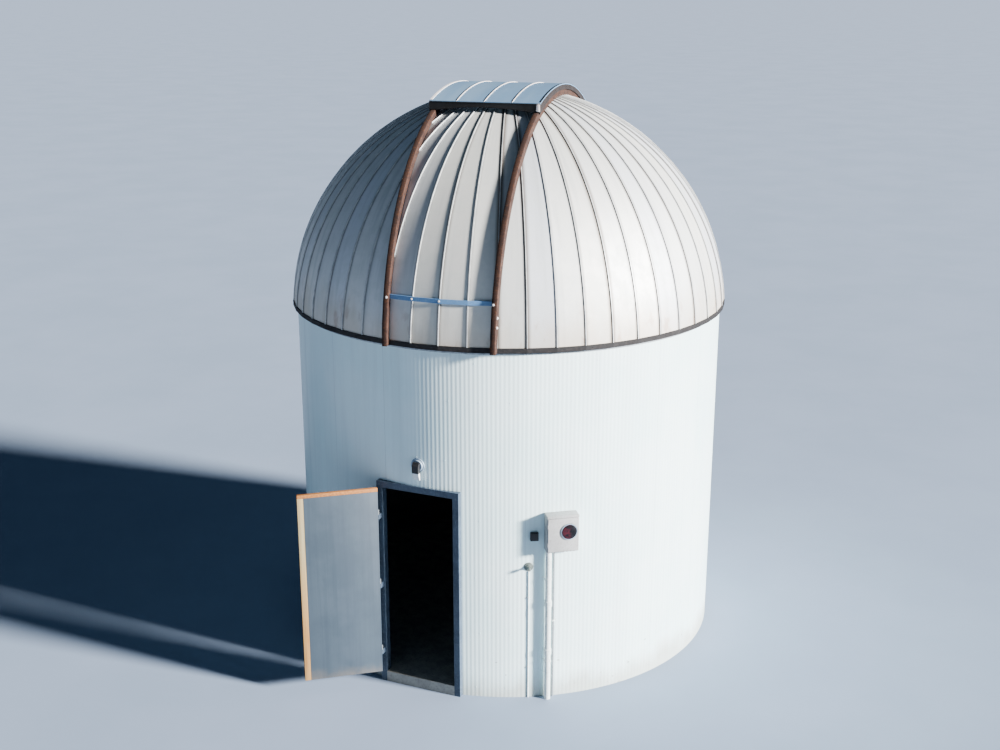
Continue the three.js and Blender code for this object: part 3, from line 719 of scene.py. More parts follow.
f = Finish("bare_board_edge", 0.75)
grain = f.ramp(f.noise(1.0, (70, 70, 1.2), 5.0), 0.38, 0.66)
weather = f.ramp(f.noise(2.0, (1, 1, 0.7)), 0.4, 0.65)
low_wood = f.mix(grain, paint(160, 120, 60), paint(132, 86, 40))
high_wood = f.mix(grain, paint(146, 136, 102), paint(120, 106, 73))
wood = f.mix(f.ramp(f.axes()[2], GREY_FROM, GREY_FULL), low_wood, high_wood)
f.colour(f.over(weather, 0.5, wood, paint(150, 122, 78)))
f.bump(grain, 0.001, 0.5)
BOARD = f.material

f = Finish("top_board_edge", 0.75)
grain = f.ramp(f.noise(1.0, (3, 70, 70), 5.0), 0.38, 0.66)
f.colour(f.mix(grain, paint(164, 106, 50), paint(134, 82, 36)))
f.bump(grain, 0.001, 0.5)
TOP_BOARD = f.material

f = Finish("door_paint", 0.5)
streak = f.ramp(f.noise(1.0, (16, 16, 0.4), 5.0), 0.4, 0.7)
cloud = f.ramp(f.noise(1.6), 0.4, 0.65)
# The dark slate of the leaf's paint is partly painted shade.
clean = f.mix(cloud, paint(60, 72, 83), paint(52, 64, 75))
foot_height = f.math("SUBTRACT", f.axes()[2], f.math("MULTIPLY", f.noise(4.0), 0.4))
foot = f.ramp(foot_height, 0.15, -0.1)
streaked = f.over(streak, 0.4, clean, paint(44, 55, 66))
f.colour(f.over(foot, 0.6, streaked, paint(112, 104, 93)))
f.bump(f.noise(50.0, (1, 1, 0.2), 2.0), 0.001, 0.4)
DOOR_PAINT_AND_SHADE = f.material

FRAME_PAINT = blotched("frame_paint", paint(62, 78, 96), paint(50, 64, 80), paint(84, 98, 112), 5.0, 0.5)
CONCRETE = blotched(
    "concrete", paint(168, 166, 158), paint(150, 148, 141), paint(128, 126, 120), 7.0, 0.9, 0.0, 0.002
)
ENCLOSURE = blotched(
    "meter_enclosure_paint", paint(168, 169, 169), paint(158, 158, 158), paint(142, 140, 139), 9.0, 0.5
)
PIPE_PAINT = blotched(
    "pipe_paint", paint(230, 238, 236), paint(216, 226, 225), paint(190, 196, 192), 9.0, 0.45
)
BLACK = blotched("black_plastic", paint(26, 26, 28), paint(34, 34, 36), paint(46, 46, 46), 14.0, 0.45)
SPIGOT_STEEL = blotched(
    "spigot_steel", paint(110, 120, 115), paint(96, 104, 100), paint(134, 142, 138), 20.0, 0.5, 0.4
)
RIM_STEEL = blotched(
    "dial_rim_steel", paint(150, 170, 188), paint(128, 148, 168), paint(176, 192, 204), 20.0, 0.45, 0.3
)

f = Finish("dial_glass", 0.25)
f.shader.inputs["Specular IOR Level"].default_value = 0.25
dark = f.mix(f.ramp(f.noise(18.0), 0.4, 0.7), paint(14, 14, 18), paint(24, 22, 26))
along_wall = f.node(
    "ShaderNodeMapping",
    {"Vector": f.place, "Rotation": (0, 0, math.radians(METER_AZ))}, vector_type="TEXTURE",
).outputs[0]
left_part = f.ramp(f.axes(along_wall)[0], RED_RIGHT, RED_LEFT)
red = f.math("MULTIPLY", left_part, f.ramp(f.noise(22.0, detail=3.0), 0.4, 0.58))
f.colour(f.over(red, 0.8, dark, paint(66, 22, 32)))
DIAL_GLASS = f.material

f = Finish("lamp_lens_plastic", 0.25)
f.shader.inputs["Transmission Weight"].default_value = 0.15
f.colour(f.mix(f.ramp(f.noise(16.0), 0.4, 0.7), paint(252, 253, 252), paint(243, 246, 246)))
f.bump(f.noise(120.0, (1, 1, 0.1), 1.0), 0.001, 0.4)
LENS_PLASTIC = f.material
print(len(bpy.data.materials), "materials in all")

# %% [markdown]
# ## The round wall
#
# On the real building the wall is corrugated sheet screwed to a frame, with a lining inside. It is
# made as a plain ring that is open where the door frame stands, and a second body above the
# doorway, with eight columns of faces for each wave. The corrugation tree then presses shallow
# waves into the outer side. It stands for the ten wall panels of the solid model.

# %% Corrugated wall
COLUMNS_PER_WAVE = 8
WAVE_DEPTH = 0.0014
EDGE_GAP = 0.0006
OUTER_SKIN = 0.01
LINING_REACH = 0.003
WALL_SHARP = 50
WALL_PANELS = 9


def wall_ring(first, last, bottom):
    """Points and faces of a wall between two edges, which give the azimuth at a radius."""
    outer_angle = last(WALL_R) - first(WALL_R)
    columns = round(WAVES * COLUMNS_PER_WAVE * outer_angle / (2 * math.pi))
    outer = evenly(first(WALL_R), last(WALL_R), columns)
    inner = evenly(first(WALL_INNER_R), last(WALL_INNER_R), columns)
    stations = []
    for a, b in zip(outer, inner):
        stations.append([
            polar(WALL_R, a, bottom), polar(WALL_R, a, WALL_TOP),
            polar(WALL_INNER_R, b, WALL_TOP), polar(WALL_INNER_R, b, bottom),
        ])
    return swept(stations)


def open_edge(radius):
    return math.asin((FRAME_HALF + EDGE_GAP / 2) / radius)


def over_edge(radius):
    return math.asin((FRAME_HALF - EDGE_GAP / 2) / radius)


round_part = wall_ring(open_edge, lambda r: 2 * math.pi - open_edge(r), 0.0)
over_part = wall_ring(lambda r: -over_edge(r), over_edge, HEAD_TOP + SEAT)
wall = mesh_object("corrugated_wall", *together(round_part, over_part))
outer_mark = wall.data.attributes.new("outer", "FLOAT", "POINT")
on_outer_side = [v.co.xy.length > WALL_R - OUTER_SKIN for v in wall.data.vertices]
outer_mark.data.foreach_set("value", [float(outer) for outer in on_outer_side])
wave_sizes = {"Waves": float(WAVES), "Depth": WAVE_DEPTH, "Material": WALL_PAINT}
run_tree(wall, wave_tree, wave_sizes, WALL_SHARP)
wall.data.materials.append(LINING)
for face in wall.data.polygons:
    if face.center.xy.length < WALL_INNER_R + LINING_REACH:
        face.material_index = 1
wall_panels = [f"wall_panel_{i + 1}" for i in range(WALL_PANELS)]
register(wall, "building", "wall_paint", *wall_panels, "wall_over_door")

# %% [markdown]
# Screws hold the sheet to its frame along level rails, on every seventh crest. Every second row
# starts one crest further on, because rows driven by hand don't line up. The screws were painted
# over together with the sheet.

# %% Screws of the wall
SCREW_ROWS = [0.12, 0.83, 1.54, 2.25, 2.96, 3.67, 4.12]
SCREW_STEP = 7
SCREW_SIZE = 0.006
DOOR_BESIDE = 0.02
DOOR_ABOVE = 0.03


def in_doorway(direction, z):
    beside = abs(direction.x) * WALL_R < FRAME_HALF + DOOR_BESIDE and direction.y < 0
    return beside and z < HEAD_TOP + DOOR_ABOVE


screw_places = []
for row, z in enumerate(SCREW_ROWS):
    for crest in range(row % 2, WAVES, SCREW_STEP):
        a = crest * (2 * math.pi / WAVES)
        direction = polar(1.0, a)
        if not in_doorway(direction, z):
            screw_places.append((polar(WALL_R, a, z), direction))
wall_screws = heads_on("wall_screws", screw_places, SCREW_SIZE, WALL_PAINT)
print(len(screw_places), "screws")
register(wall_screws, "building", "zinc")

# %% [markdown]
# ## The dome
#
# Strips of sheet, flat across and bent lengthwise, run from the turning ring to the top. The shell
# is one closed body: fifty-two strips, many rows, an outer and an inner skin. The slit could be
# left open while the strips are made, but its edges cross them at a slant. An exact Boolean with a
# box cuts both skins at once, keeps the body closed, and takes only a second.

# %% Shell of the dome with its slit
DOME_ROWS = 56
TIP_ELEVATION = math.radians(89)
SLIT_HALF = 0.58
SLIT_SILL = DOME_R * math.sin(math.radians(25))
SLIT_REAR = -DOME_R * math.sin(math.radians(12))
CUTTER_ROUND = 0.001
STRIP_SHARP = 3.0
DOME_PANELS = 12


def shell_point(radius, azimuth, row):
    start = math.asin(SHELL_BOTTOM / radius)
    elevation = start + (TIP_ELEVATION - start) * row / DOME_ROWS
    return polar(radius * math.cos(elevation), azimuth, radius * math.sin(elevation))


gore_edges = [2 * math.pi * i / GORES for i in range(GORES)]
skins = []
for a in gore_edges:
    outer = [shell_point(SHEET_R, a, row) for row in range(DOME_ROWS + 1)]
    inner = [shell_point(SHEET_INNER_R, a, row) for row in range(DOME_ROWS, -1, -1)]
    skins.append(outer + inner)
shell = mesh_object("dome_shell", *swept(skins, closed=True), sharp=STRIP_SHARP)
cutter_low = (-SLIT_HALF, SLIT_REAR, SLIT_SILL)
cutter_high = (SLIT_HALF, 2 * DOME_R, 2 * DOME_R)
cutter = mesh_object("slit_cutter", *rounded_box(cutter_low, cutter_high, CUTTER_ROUND, 1))
boolean = shell.modifiers.new("slit", "BOOLEAN")
boolean.object = cutter
boolean.operation = "DIFFERENCE"
boolean.solver = "EXACT"
graph = bpy.context.evaluated_depsgraph_get()
cut_mesh = bpy.data.meshes.new_from_object(shell.evaluated_get(graph), depsgraph=graph)
shell.modifiers.clear()
shell.data = cut_mesh
bpy.data.objects.remove(cutter)
shell.data.transform(DOME_FRAME)
smooth(shell, STRIP_SHARP)
dome_panels = [f"dome_panel_{i + 1}" for i in range(DOME_PANELS)]
add_piece(shell, "dome", "dome_sheet", DOME_SHEET, "slit_lower_panel", *dome_panels)

# %% [markdown]
# A standing seam joins each strip to the next. The seams follow the strips' edges and stop at the
# slit's frame.

# %% Standing seams
SEAM_WIDTH = 0.009
SEAM_HEIGHT = 0.013
SEAM_SINK = 0.001
SLIT_FRAME = 0.012


def in_slit(p):
    beside = abs(p.x) < SLIT_HALF + SLIT_FRAME
    return beside and p.y > SLIT_REAR - SLIT_FRAME and p.z > SLIT_SILL - SLIT_FRAME


seam_lines = []
seam_middle = SHEET_R + SEAM_HEIGHT / 2 - SEAM_SINK
for a in gore_edges:
    line = []
    for row in range(DOME_ROWS + 1):
        p = shell_point(seam_middle, a, row)
        if in_slit(p):
            break
        line.append(DOME_FRAME @ p)
    seam_lines.append(line)
seams = bars_along("standing_seams", seam_lines, SEAM_WIDTH, SEAM_HEIGHT, SEAM_SHEET)
register(seams, "dome", "dome_sheet")

# %% [markdown]
# The ring under the strips keeps its solid and gets its steel finish. Dark screws hold every strip
# to it, two to a strip.

# %% Ring and its screws
RING_FACE_R = 2.746
RING_MIDDLE = (RING_LOW + SHELL_BOTTOM) / 2
SCREW_SHARE = 0.24
RING_SCREW_SIZE = 0.006

finish_solid("base_ring", RING_STEEL)
ring_screw_places = []
for edge in gore_edges:
    facing = DOME_DIRECTIONS @ polar(1.0, edge + math.pi / GORES)
    first = polar(RING_FACE_R, edge, RING_MIDDLE)
    last = polar(RING_FACE_R, edge + 2 * math.pi / GORES, RING_MIDDLE)
    for share in (SCREW_SHARE, 1 - SCREW_SHARE):
        ring_screw_places.append((DOME_FRAME @ first.lerp(last, share), facing))
ring_screws = heads_on("ring_screws", ring_screw_places, RING_SCREW_SIZE, RING_STEEL)
register(ring_screws, "dome", "ring_steel")

# %% [markdown]
# ## Rails
#
# Two arches of rusty steel carry the shutter. They start on the ring's outer face, pass over the
# dome and come down on the other side. Their outline has rounded upper edges and a foot that
# follows the dome's slope. It is swept through many stations so that the arch looks bent and not
# folded. A block behind each end rests on the ring.

# %% Arched rails
RAIL_STATIONS = 120
EDGE_ROUND = 0.006
EDGE_CUT = EDGE_ROUND * 0.3
BLOCK_FROM, BLOCK_TO = 2.667, 2.7
BLOCK_INSET = 0.001
BLOCK_ROUND = 0.001


def arch_point(n, radius, angle):
    """A point over the dome: n across, a radius about the shutter's axis, an angle from the zenith."""
    return Vector((n, -radius * math.sin(angle), radius * math.cos(angle)))


def rail_outline(side):
    """The rail's section in pairs of n and radius. Its foot follows the dome's slope."""
    near, far = side * (RAIL_N - RAIL_HALF), side * (RAIL_N + RAIL_HALF)
    near_foot, far_foot = (math.sqrt(RAIL_FOOT_R ** 2 - n ** 2) for n in (near, far))
    shoulder = RAIL_TOP_R - EDGE_ROUND
    corner = RAIL_TOP_R - EDGE_CUT
    return [
        (near, near_foot), (far, far_foot), (far, shoulder), (far - side * EDGE_CUT, corner),
        (far - side * EDGE_ROUND, RAIL_TOP_R), (near + side * EDGE_ROUND, RAIL_TOP_R),
        (near + side * EDGE_CUT, corner), (near, shoulder),
    ]


def rail_block(side, end):
    """The block behind one end of a rail."""
    near, far = sorted((end * BLOCK_FROM, end * BLOCK_TO))
    low = (side * RAIL_N - RAIL_HALF + BLOCK_INSET, near, RING_LOW + BLOCK_INSET)
    high = (side * RAIL_N + RAIL_HALF - BLOCK_INSET, far, SHELL_BOTTOM - BLOCK_INSET)
    return rounded_box(low, high, BLOCK_ROUND, 1)


def rail_body(side):
    stations = []
    for t in evenly(-1, 1, RAIL_STATIONS):
        stations.append([arch_point(n, r, t * math.acos(RING_LOW / r)) for n, r in rail_outline(side)])
    return together(swept(stations), rail_block(side, -1), rail_block(side, 1))


for side, name in ((-1, "rail_left"), (1, "rail_right")):
    rail = mesh_object("rusty_" + name, *rail_body(side), place=DOME_FRAME)
    add_piece(rail, "dome", "rusty_steel", RUST, name)

# %% [markdown]
# Two pale bolts go through each foot of the rails from the outer side. The stop strap that ties the
# rails together is painted a light blue. It has a bolt on two of the seams, and one on each rail
# beside its ends.

# %% Rail bolts, stop strap and its bolts
RAIL_BOLT_Z = (0.415, 0.52)
RAIL_BOLT_R = 2.70
RAIL_BOLT_SIZE = 0.016
STRAP_Z = 0.67
STRAP_OUTER_R = 2.689
STRAP_BOLT_SIZE = 0.015
STRAP_BOLT_SINK = 0.001
END_BOLT_INSET = 0.01

rail_bolts = []
for side in (-1, 1):
    for end in (-1, 1):
        for z in RAIL_BOLT_Z:
            p = Vector((side * (RAIL_N + RAIL_HALF), end * math.sqrt(RAIL_BOLT_R ** 2 - z * z), z))
            rail_bolts.append((DOME_FRAME @ p, DOME_DIRECTIONS @ Vector((side, 0, 0))))
foot_bolts = heads_on("rail_foot_bolts", rail_bolts, RAIL_BOLT_SIZE, PALE_PAINT_AND_HIGHLIGHT)
register(foot_bolts, "dome", "zinc")

finish_solid("stop_strap", STRAP_PAINT)
strap_bolts = []
for a in (-2 * math.pi / GORES, 0.0):
    p = polar(STRAP_OUTER_R - STRAP_BOLT_SINK, a, STRAP_Z)
    strap_bolts.append((DOME_FRAME @ p, DOME_DIRECTIONS @ polar(1.0, a)))
for side in (-1, 1):
    on_rail = Vector((0, -math.sqrt(RAIL_TOP_R ** 2 - STRAP_Z ** 2), STRAP_Z))
    p = on_rail + Vector((side * (RAIL_N - END_BOLT_INSET), 0, 0))
    strap_bolts.append((DOME_FRAME @ p, DOME_DIRECTIONS @ on_rail.normalized()))
stop_bolts = heads_on("stop_strap_bolts", strap_bolts, STRAP_BOLT_SIZE, PALE_PAINT_AND_HIGHLIGHT)
register(stop_bolts, "dome", "zinc")

# %% [markdown]
# ## Shutter
#
# The shutter is a curved cover of four lengths of sheet with standing seams between them. It is
# round over the dome and flatter towards its rear end, so its radius is a function of the angle
# from the zenith. The sheet, its edge trims, its rusty sides and its end plates use that function.
# The sheet lies a seam's height below the top of the solid, so that the seams stay inside the box,
# and the whole curve is a hair lower, because the solid's top is made of flat steps.

# %% Curve of the shutter
SHUTTER_R = 2.8115
SHUTTER_HALF = 0.676
SHUTTER_FRONT = math.radians(-67)
SHUTTER_REAR_Y = 1.024
FLAT_START = math.radians(-4.4)
FLAT_R = 3.3475
SHUTTER_STEPS = 72
SHUTTER_SEAM = 0.006
SHEET_THICKNESS = 0.009
SIDE_THICKNESS = 0.012
SIDE_LOW_R = 2.736
SEARCH_ROUNDS = 8


def shutter_radius(angle):
    if angle <= FLAT_START:
        return SHUTTER_R
    drop = FLAT_R - SHUTTER_R
    turn = angle - FLAT_START
    return math.sqrt(FLAT_R ** 2 - (drop * math.sin(turn)) ** 2) - drop * math.cos(turn)


def rear_angle(radius_at):
    """Where a curve ends at the rear, found in a few rounds because its radius changes on the way."""
    angle = 0.0
    for _ in range(SEARCH_ROUNDS):
        angle = math.asin(SHUTTER_REAR_Y / radius_at(angle))
    return angle


def shutter_sweep(section, front=SHUTTER_FRONT, steps=SHUTTER_STEPS):
    """A section carried along the shutter. Each corner is an offset n and a drop below the top
    curve, or a function that gives its radius."""
    stations = []
    for t in evenly(0, 1, steps):
        station = []
        for n, drop in section:
            radius_at = drop if callable(drop) else (lambda angle, d=drop: shutter_radius(angle) - d)
            angle = front + (rear_angle(radius_at) - front) * t
            station.append(arch_point(n, radius_at(angle), angle))
        stations.append(station)
    return swept(stations)


print("rear end at", round(math.degrees(rear_angle(shutter_radius)), 1), "degrees behind the zenith")

# %% [markdown]
# The seams of the shutter are folds painted pale as a highlight, each with a dark bar along its left side
# that is a painted shadow.

# %% Sheet and seams of the shutter
PANELS = 4
SHUTTER_SEAM_WIDTH = 0.006
SEAM_SHADOW_WIDTH = 0.008
SEAM_SHADOW_SHARE = 0.8

top = SHUTTER_SEAM
bottom = top + SHEET_THICKNESS
sheet_part = shutter_sweep([
    (-SHUTTER_HALF, bottom), (SHUTTER_HALF, bottom), (SHUTTER_HALF, top), (-SHUTTER_HALF, top),
])
sheet = mesh_object("shutter_cover", *sheet_part, place=DOME_FRAME)
add_piece(sheet, "shutter", "shutter_sheet", SHUTTER_ZINC_AND_SKY, "shutter_sheet")

seam_drop = top / 2
last = rear_angle(lambda angle: shutter_radius(angle) - seam_drop)
shutter_lines = []
for i in range(1, PANELS):
    n = -SHUTTER_HALF + 2 * SHUTTER_HALF * i / PANELS
    shutter_lines.append([
        DOME_FRAME @ arch_point(n, shutter_radius(angle) - seam_drop, angle)
        for angle in evenly(SHUTTER_FRONT, last, SHUTTER_STEPS)
    ])
# The seams' pale paint is a painted highlight.
shutter_seams = bars_along("shutter_seams", shutter_lines, SHUTTER_SEAM_WIDTH, top, PALE_PAINT_AND_HIGHLIGHT)
register(shutter_seams, "shutter", "shutter_sheet")

# A dark bar beside each seam is its painted shadow, not sealant.
beside = DOME_DIRECTIONS @ Vector((-(SHUTTER_SEAM_WIDTH + SEAM_SHADOW_WIDTH) / 2, 0, 0))
seam_shadow_lines = [[p + beside for p in line] for line in shutter_lines]
seam_shadow_bars = bars_along("shutter_sealant", seam_shadow_lines, SEAM_SHADOW_WIDTH, top * SEAM_SHADOW_SHARE, DARK_STEEL_AND_SHADOW)
register(seam_shadow_bars, "shutter", "lip_steel")

# %% [markdown]
# Folded trims close the edges: a strip along the left edge, painted pale as a highlight, one of
# the sheet's own colour at the rear end, and a dark one, half as wide, on the right.

# %% Edge trims
TRIM_WIDTH = 0.028
TRIM_RISE = 0.005
REAR_TRIM_STEPS = 4

lift = top - TRIM_RISE
left_inner = -SHUTTER_HALF + TRIM_WIDTH
left_trim = shutter_sweep([
    (-SHUTTER_HALF, top), (left_inner, top), (left_inner, lift), (-SHUTTER_HALF, lift),
])
right_inner = SHUTTER_HALF - TRIM_WIDTH / 2
right_trim = shutter_sweep([
    (right_inner, top), (SHUTTER_HALF, top), (SHUTTER_HALF, lift), (right_inner, lift),
])
rear_trim = shutter_sweep(
    [(-SHUTTER_HALF, top), (SHUTTER_HALF, top), (SHUTTER_HALF, lift), (-SHUTTER_HALF, lift)],
    rear_angle(shutter_radius) - TRIM_WIDTH / SHUTTER_R, REAR_TRIM_STEPS,
)
# The left trim's pale paint is a painted highlight.
left_highlight_trim = mesh_object("shutter_pale_trim", *left_trim, place=DOME_FRAME)
add_piece(left_highlight_trim, "shutter", "shutter_sheet", PALE_PAINT_AND_HIGHLIGHT)
end_trim = mesh_object("shutter_end_trim", *rear_trim, place=DOME_FRAME)
add_piece(end_trim, "shutter", "shutter_sheet", SHUTTER_ZINC_AND_SKY)
dark_trim = mesh_object("shutter_dark_trim", *right_trim, place=DOME_FRAME)
add_piece(dark_trim, "shutter", "lip_steel", DARK_STEEL_AND_SHADOW)

# %% [markdown]
# Rusty plates hang down on both sides and carry the runners that ride on the rails. The runners
# don't show on the real building, so they are plain blocks.

# %% Side plates and runners
RUNNER_LENGTH = 0.1
RUNNER_STEPS = (-17, 5)
RAIL_STEPS = 48
RUNNER_TOP = 0.03
RUNNER_INSET = 0.004
RUNNER_ROUND = 0.004

under_sheet = SHUTTER_SEAM + SHEET_THICKNESS + SEAT
rail_step = 2 * math.acos(RING_LOW / RAIL_TOP_R) / RAIL_STEPS


def runner(side, angle):
    """The block under the sheet that rides on one rail at one angle."""
    near, far = side * (RAIL_N - RAIL_HALF + RUNNER_INSET), side * (SHUTTER_HALF - SIDE_THICKNESS)
    low = (min(near, far), -RUNNER_LENGTH / 2, RAIL_TOP_R + SEAT)
    high = (max(near, far), RUNNER_LENGTH / 2, shutter_radius(angle) - RUNNER_TOP)
    return moved(rounded_box(low, high, RUNNER_ROUND), Matrix.Rotation(angle, 4, "X"))


def side_low(angle):
    """The plate's lower edge keeps one radius at every angle."""
    return SIDE_LOW_R


def side_plate(side):
    near, far = side * (SHUTTER_HALF - SIDE_THICKNESS), side * SHUTTER_HALF
    plate = shutter_sweep([(near, side_low), (far, side_low), (far, under_sheet), (near, under_sheet)])
    return together(plate, *[runner(side, step * rail_step) for step in RUNNER_STEPS])


for side, node in ((-1, "shutter_side_left"), (1, "shutter_side_right")):
    plate = mesh_object(node.replace("side", "side_plate"), *side_plate(side), place=DOME_FRAME)
    add_piece(plate, "shutter", "rusty_steel", DARK_RUST, node)

# %% [markdown]
# The end plates, the lips, reach down between the rails and leave a gap over the dome, so that the
# shutter can run. A pale block at the rear right corner is a painted highlight of the shutter's
# sunlit end, and small bolts hold the side plates to the sheet's folded edge.

# %% Lips, painted end highlight and side bolts
LIP_TOP = 2.669
LIP_DROP = 0.012
LIP_THICKNESS = 0.012
LIP_FOLD = 0.02
PLATE_SHARE = 0.7
LIP_CLEARANCE = 0.045
LIP_FLATNESS = 0.8
LIP_STEPS = 32
RAIL_CLEARANCE = 0.006
CORNER_WIDTH, CORNER_DEPTH, CORNER_HEIGHT = 0.045, 0.03, 0.1
CORNER_SIDE_GAP, CORNER_DROP = 0.001, 0.011
CORNER_ROUND = 0.004
BOLT_STEPS = 22
BOLT_END_ANGLE = 0.05
BOLT_DROP = 0.045
BOLT_SINK = 0.002
BOLT_SIZE = 0.008


def lip(distance, top):
    """Outline of an end plate at a distance from the shutter's axis. It clears the rails, and the
    dome between them."""
    over_rails = math.sqrt((RAIL_TOP_R + RAIL_CLEARANCE) ** 2 - distance ** 2)
    inner = RAIL_N - RAIL_HALF - RAIL_CLEARANCE
    arch = []
    for x in evenly(-inner, inner, LIP_STEPS):
        over_dome = (DOME_R + LIP_CLEARANCE) ** 2 - distance ** 2 - (LIP_FLATNESS * x) ** 2
        arch.append((x, math.sqrt(over_dome)))
    return [
        (-SHUTTER_HALF, top), (-SHUTTER_HALF, over_rails), (-inner, over_rails), *arch,
        (inner, over_rails), (SHUTTER_HALF, over_rails), (SHUTTER_HALF, top),
    ]


plate_top, fold_low = LIP_TOP - LIP_DROP, LIP_TOP - LIP_FOLD
inside = -SHUTTER_REAR_Y - SEAT
plate_face = inside - LIP_THICKNESS * PLATE_SHARE
fold_face = inside - LIP_THICKNESS
rear_plate = slab(lip(SHUTTER_REAR_Y, plate_top), plate_face, inside)
fold_outline = [
    (-SHUTTER_HALF, fold_low), (SHUTTER_HALF, fold_low),
    (SHUTTER_HALF, plate_top), (-SHUTTER_HALF, plate_top),
]
rear_fold = slab(fold_outline, fold_face, plate_face)
rear_lip = mesh_object("rear_lip", *together(rear_plate, rear_fold), place=DOME_FRAME)
add_piece(rear_lip, "shutter", "lip_steel", DARK_STEEL_AND_SHADOW, "shutter_rear_lip")
front_plate = slab(lip(0.0, SHUTTER_R - LIP_DROP), SEAT, SEAT + LIP_THICKNESS)
front_place = DOME_FRAME @ Matrix.Rotation(SHUTTER_FRONT, 4, "X")
front_lip = mesh_object("front_lip", *front_plate, place=front_place)
add_piece(front_lip, "shutter", "lip_steel", DARK_STEEL_AND_SHADOW, "shutter_front_lip")

# A pale block at the rear right corner: a painted highlight of the shutter's sunlit end.
end_highlight_low = (SHUTTER_HALF - CORNER_WIDTH, fold_face, LIP_TOP - CORNER_HEIGHT)
end_highlight_high = (SHUTTER_HALF - CORNER_SIDE_GAP, -SHUTTER_REAR_Y + CORNER_DEPTH, LIP_TOP - CORNER_DROP)
end_highlight_part = rounded_box(end_highlight_low, end_highlight_high, CORNER_ROUND)
corner = mesh_object("shutter_end_piece", *end_highlight_part, place=DOME_FRAME)
add_piece(corner, "shutter", "shutter_sheet", PALE_PAINT_AND_HIGHLIGHT)

side_bolts = []
first, last = SHUTTER_FRONT + BOLT_END_ANGLE, rear_angle(shutter_radius) - BOLT_END_ANGLE
for side in (-1, 1):
    for angle in evenly(first, last, BOLT_STEPS):
        p = arch_point(side * (SHUTTER_HALF - BOLT_SINK), shutter_radius(angle) - BOLT_DROP, angle)
        side_bolts.append((DOME_FRAME @ p, DOME_DIRECTIONS @ Vector((side, 0, 0))))
bolt_piece = heads_on("shutter_side_bolts", side_bolts, BOLT_SIZE, DARK_RUST)
register(bolt_piece, "shutter", "rusty_steel")

# %% [markdown]
# ## Door
#
# The door is a flush leaf: a painted sheet on each face of a core, with bare boards along the free
# edge and the top. It stands open at 142.5 degrees, so it is built closed about its hinge line and
# then turned.

# %% Door leaf and boards
LEAF_START = 0.01
LEAF_END = 0.937
LEAF_FRONT = 0.008
LEAF_BACK = 0.053
LEAF_BOTTOM = 0.185
LEAF_TOP = 2.547
FREE_BOARD = 0.07
TOP_BOARD_HEIGHT = 0.042
BOARD_ROUND = 0.003
CORE_ROUND = 0.001
SKIN = 0.003
SKIN_OVERLAP = 0.0005
SKIN_ROUND = 0.0012
SKIN_LOW_INSET, SKIN_HIGH_INSET = 0.002, 0.001
HINGE_LINE = (-0.475, -2.76, 0)
DOOR_TURN = math.radians(-142.5)
DOOR_FRAME = Matrix.Translation(HINGE_LINE) @ Matrix.Rotation(DOOR_TURN, 4, "Z")
DOOR_DIRECTIONS = DOOR_FRAME.to_3x3()

core_end = LEAF_END - FREE_BOARD - SEAT
core_top = LEAF_TOP - TOP_BOARD_HEIGHT - SEAT
core_low = (LEAF_START, LEAF_FRONT + SKIN, LEAF_BOTTOM)
core = rounded_box(core_low, (core_end, LEAF_BACK - SKIN, core_top), CORE_ROUND, 1)
skins = []
for y in (LEAF_FRONT, LEAF_BACK - SKIN - SKIN_OVERLAP):
    skin_low = (LEAF_START + SKIN_LOW_INSET, y, LEAF_BOTTOM + SKIN_LOW_INSET)
    skin_high = (core_end - SKIN_HIGH_INSET, y + SKIN + SKIN_OVERLAP, core_top - SKIN_HIGH_INSET)
    skins.append(rounded_box(skin_low, skin_high, SKIN_ROUND))
leaf = mesh_object("door_leaf_sheet", *together(core, *skins), place=DOOR_FRAME)
add_piece(leaf, "door", "door_paint", DOOR_PAINT_AND_SHADE, "door_leaf")

free_low = (LEAF_END - FREE_BOARD, LEAF_FRONT, LEAF_BOTTOM)
free_board = rounded_box(free_low, (LEAF_END, LEAF_BACK, core_top), BOARD_ROUND)
board = mesh_object("door_board_free_edge", *free_board, place=DOOR_FRAME)
add_piece(board, "door", "bare_wood", BOARD, "door_edge_free")
top_low = (LEAF_START, LEAF_FRONT, LEAF_TOP - TOP_BOARD_HEIGHT)
top_board = rounded_box(top_low, (LEAF_END, LEAF_BACK, LEAF_TOP), BOARD_ROUND)
board = mesh_object("door_board_top", *top_board, place=DOOR_FRAME)
add_piece(board, "door", "bare_wood", TOP_BOARD, "door_edge_top")

# %% [markdown]
# The hinge straps keep their solids. Their bolts, the small nails round the sheets, and a turned
# knob with its rose are added.

# %% Knob, nails and strap bolts
KNOB_Z = 1.13
KNOB_INSET = 0.06
KNOB_PROFILE = [
    (0, 0.0), (0.036, 0.0), (0.036, 0.004), (0.032, 0.009), (0.013, 0.012), (0.011, 0.028),
    (0.016, 0.034), (0.025, 0.040), (0.0268, 0.048), (0.024, 0.056), (0.014, 0.0615), (0, 0.062),
]
NAIL_EDGE_X, NAIL_EDGE_Z = 0.02, 0.03
NAIL_STEPS_UP, NAIL_STEPS_ACROSS = 12, 6
NAIL_SINK = 0.0004
NAIL_SIZE = 0.0022
HINGE_HEIGHTS = (0.45, 1.32, 2.2)
HINGE_BOLTS_X = (0.06, 0.15, 0.24)
STRAP_THICKNESS = 0.006
STRAP_MIDDLE = 0.025
HINGE_BOLT_SIZE = 0.009
FACING_FRONT = Matrix.Rotation(math.pi / 2, 4, "X")

knob_spot = Matrix.Translation((core_end - KNOB_INSET, LEAF_FRONT - SEAT, KNOB_Z))
knob_place = DOOR_FRAME @ knob_spot @ FACING_FRONT
knob = mesh_object("door_knob_turned", *turned(KNOB_PROFILE, sides=28), place=knob_place)
add_piece(knob, "door", "zinc", ZINC, "door_knob")

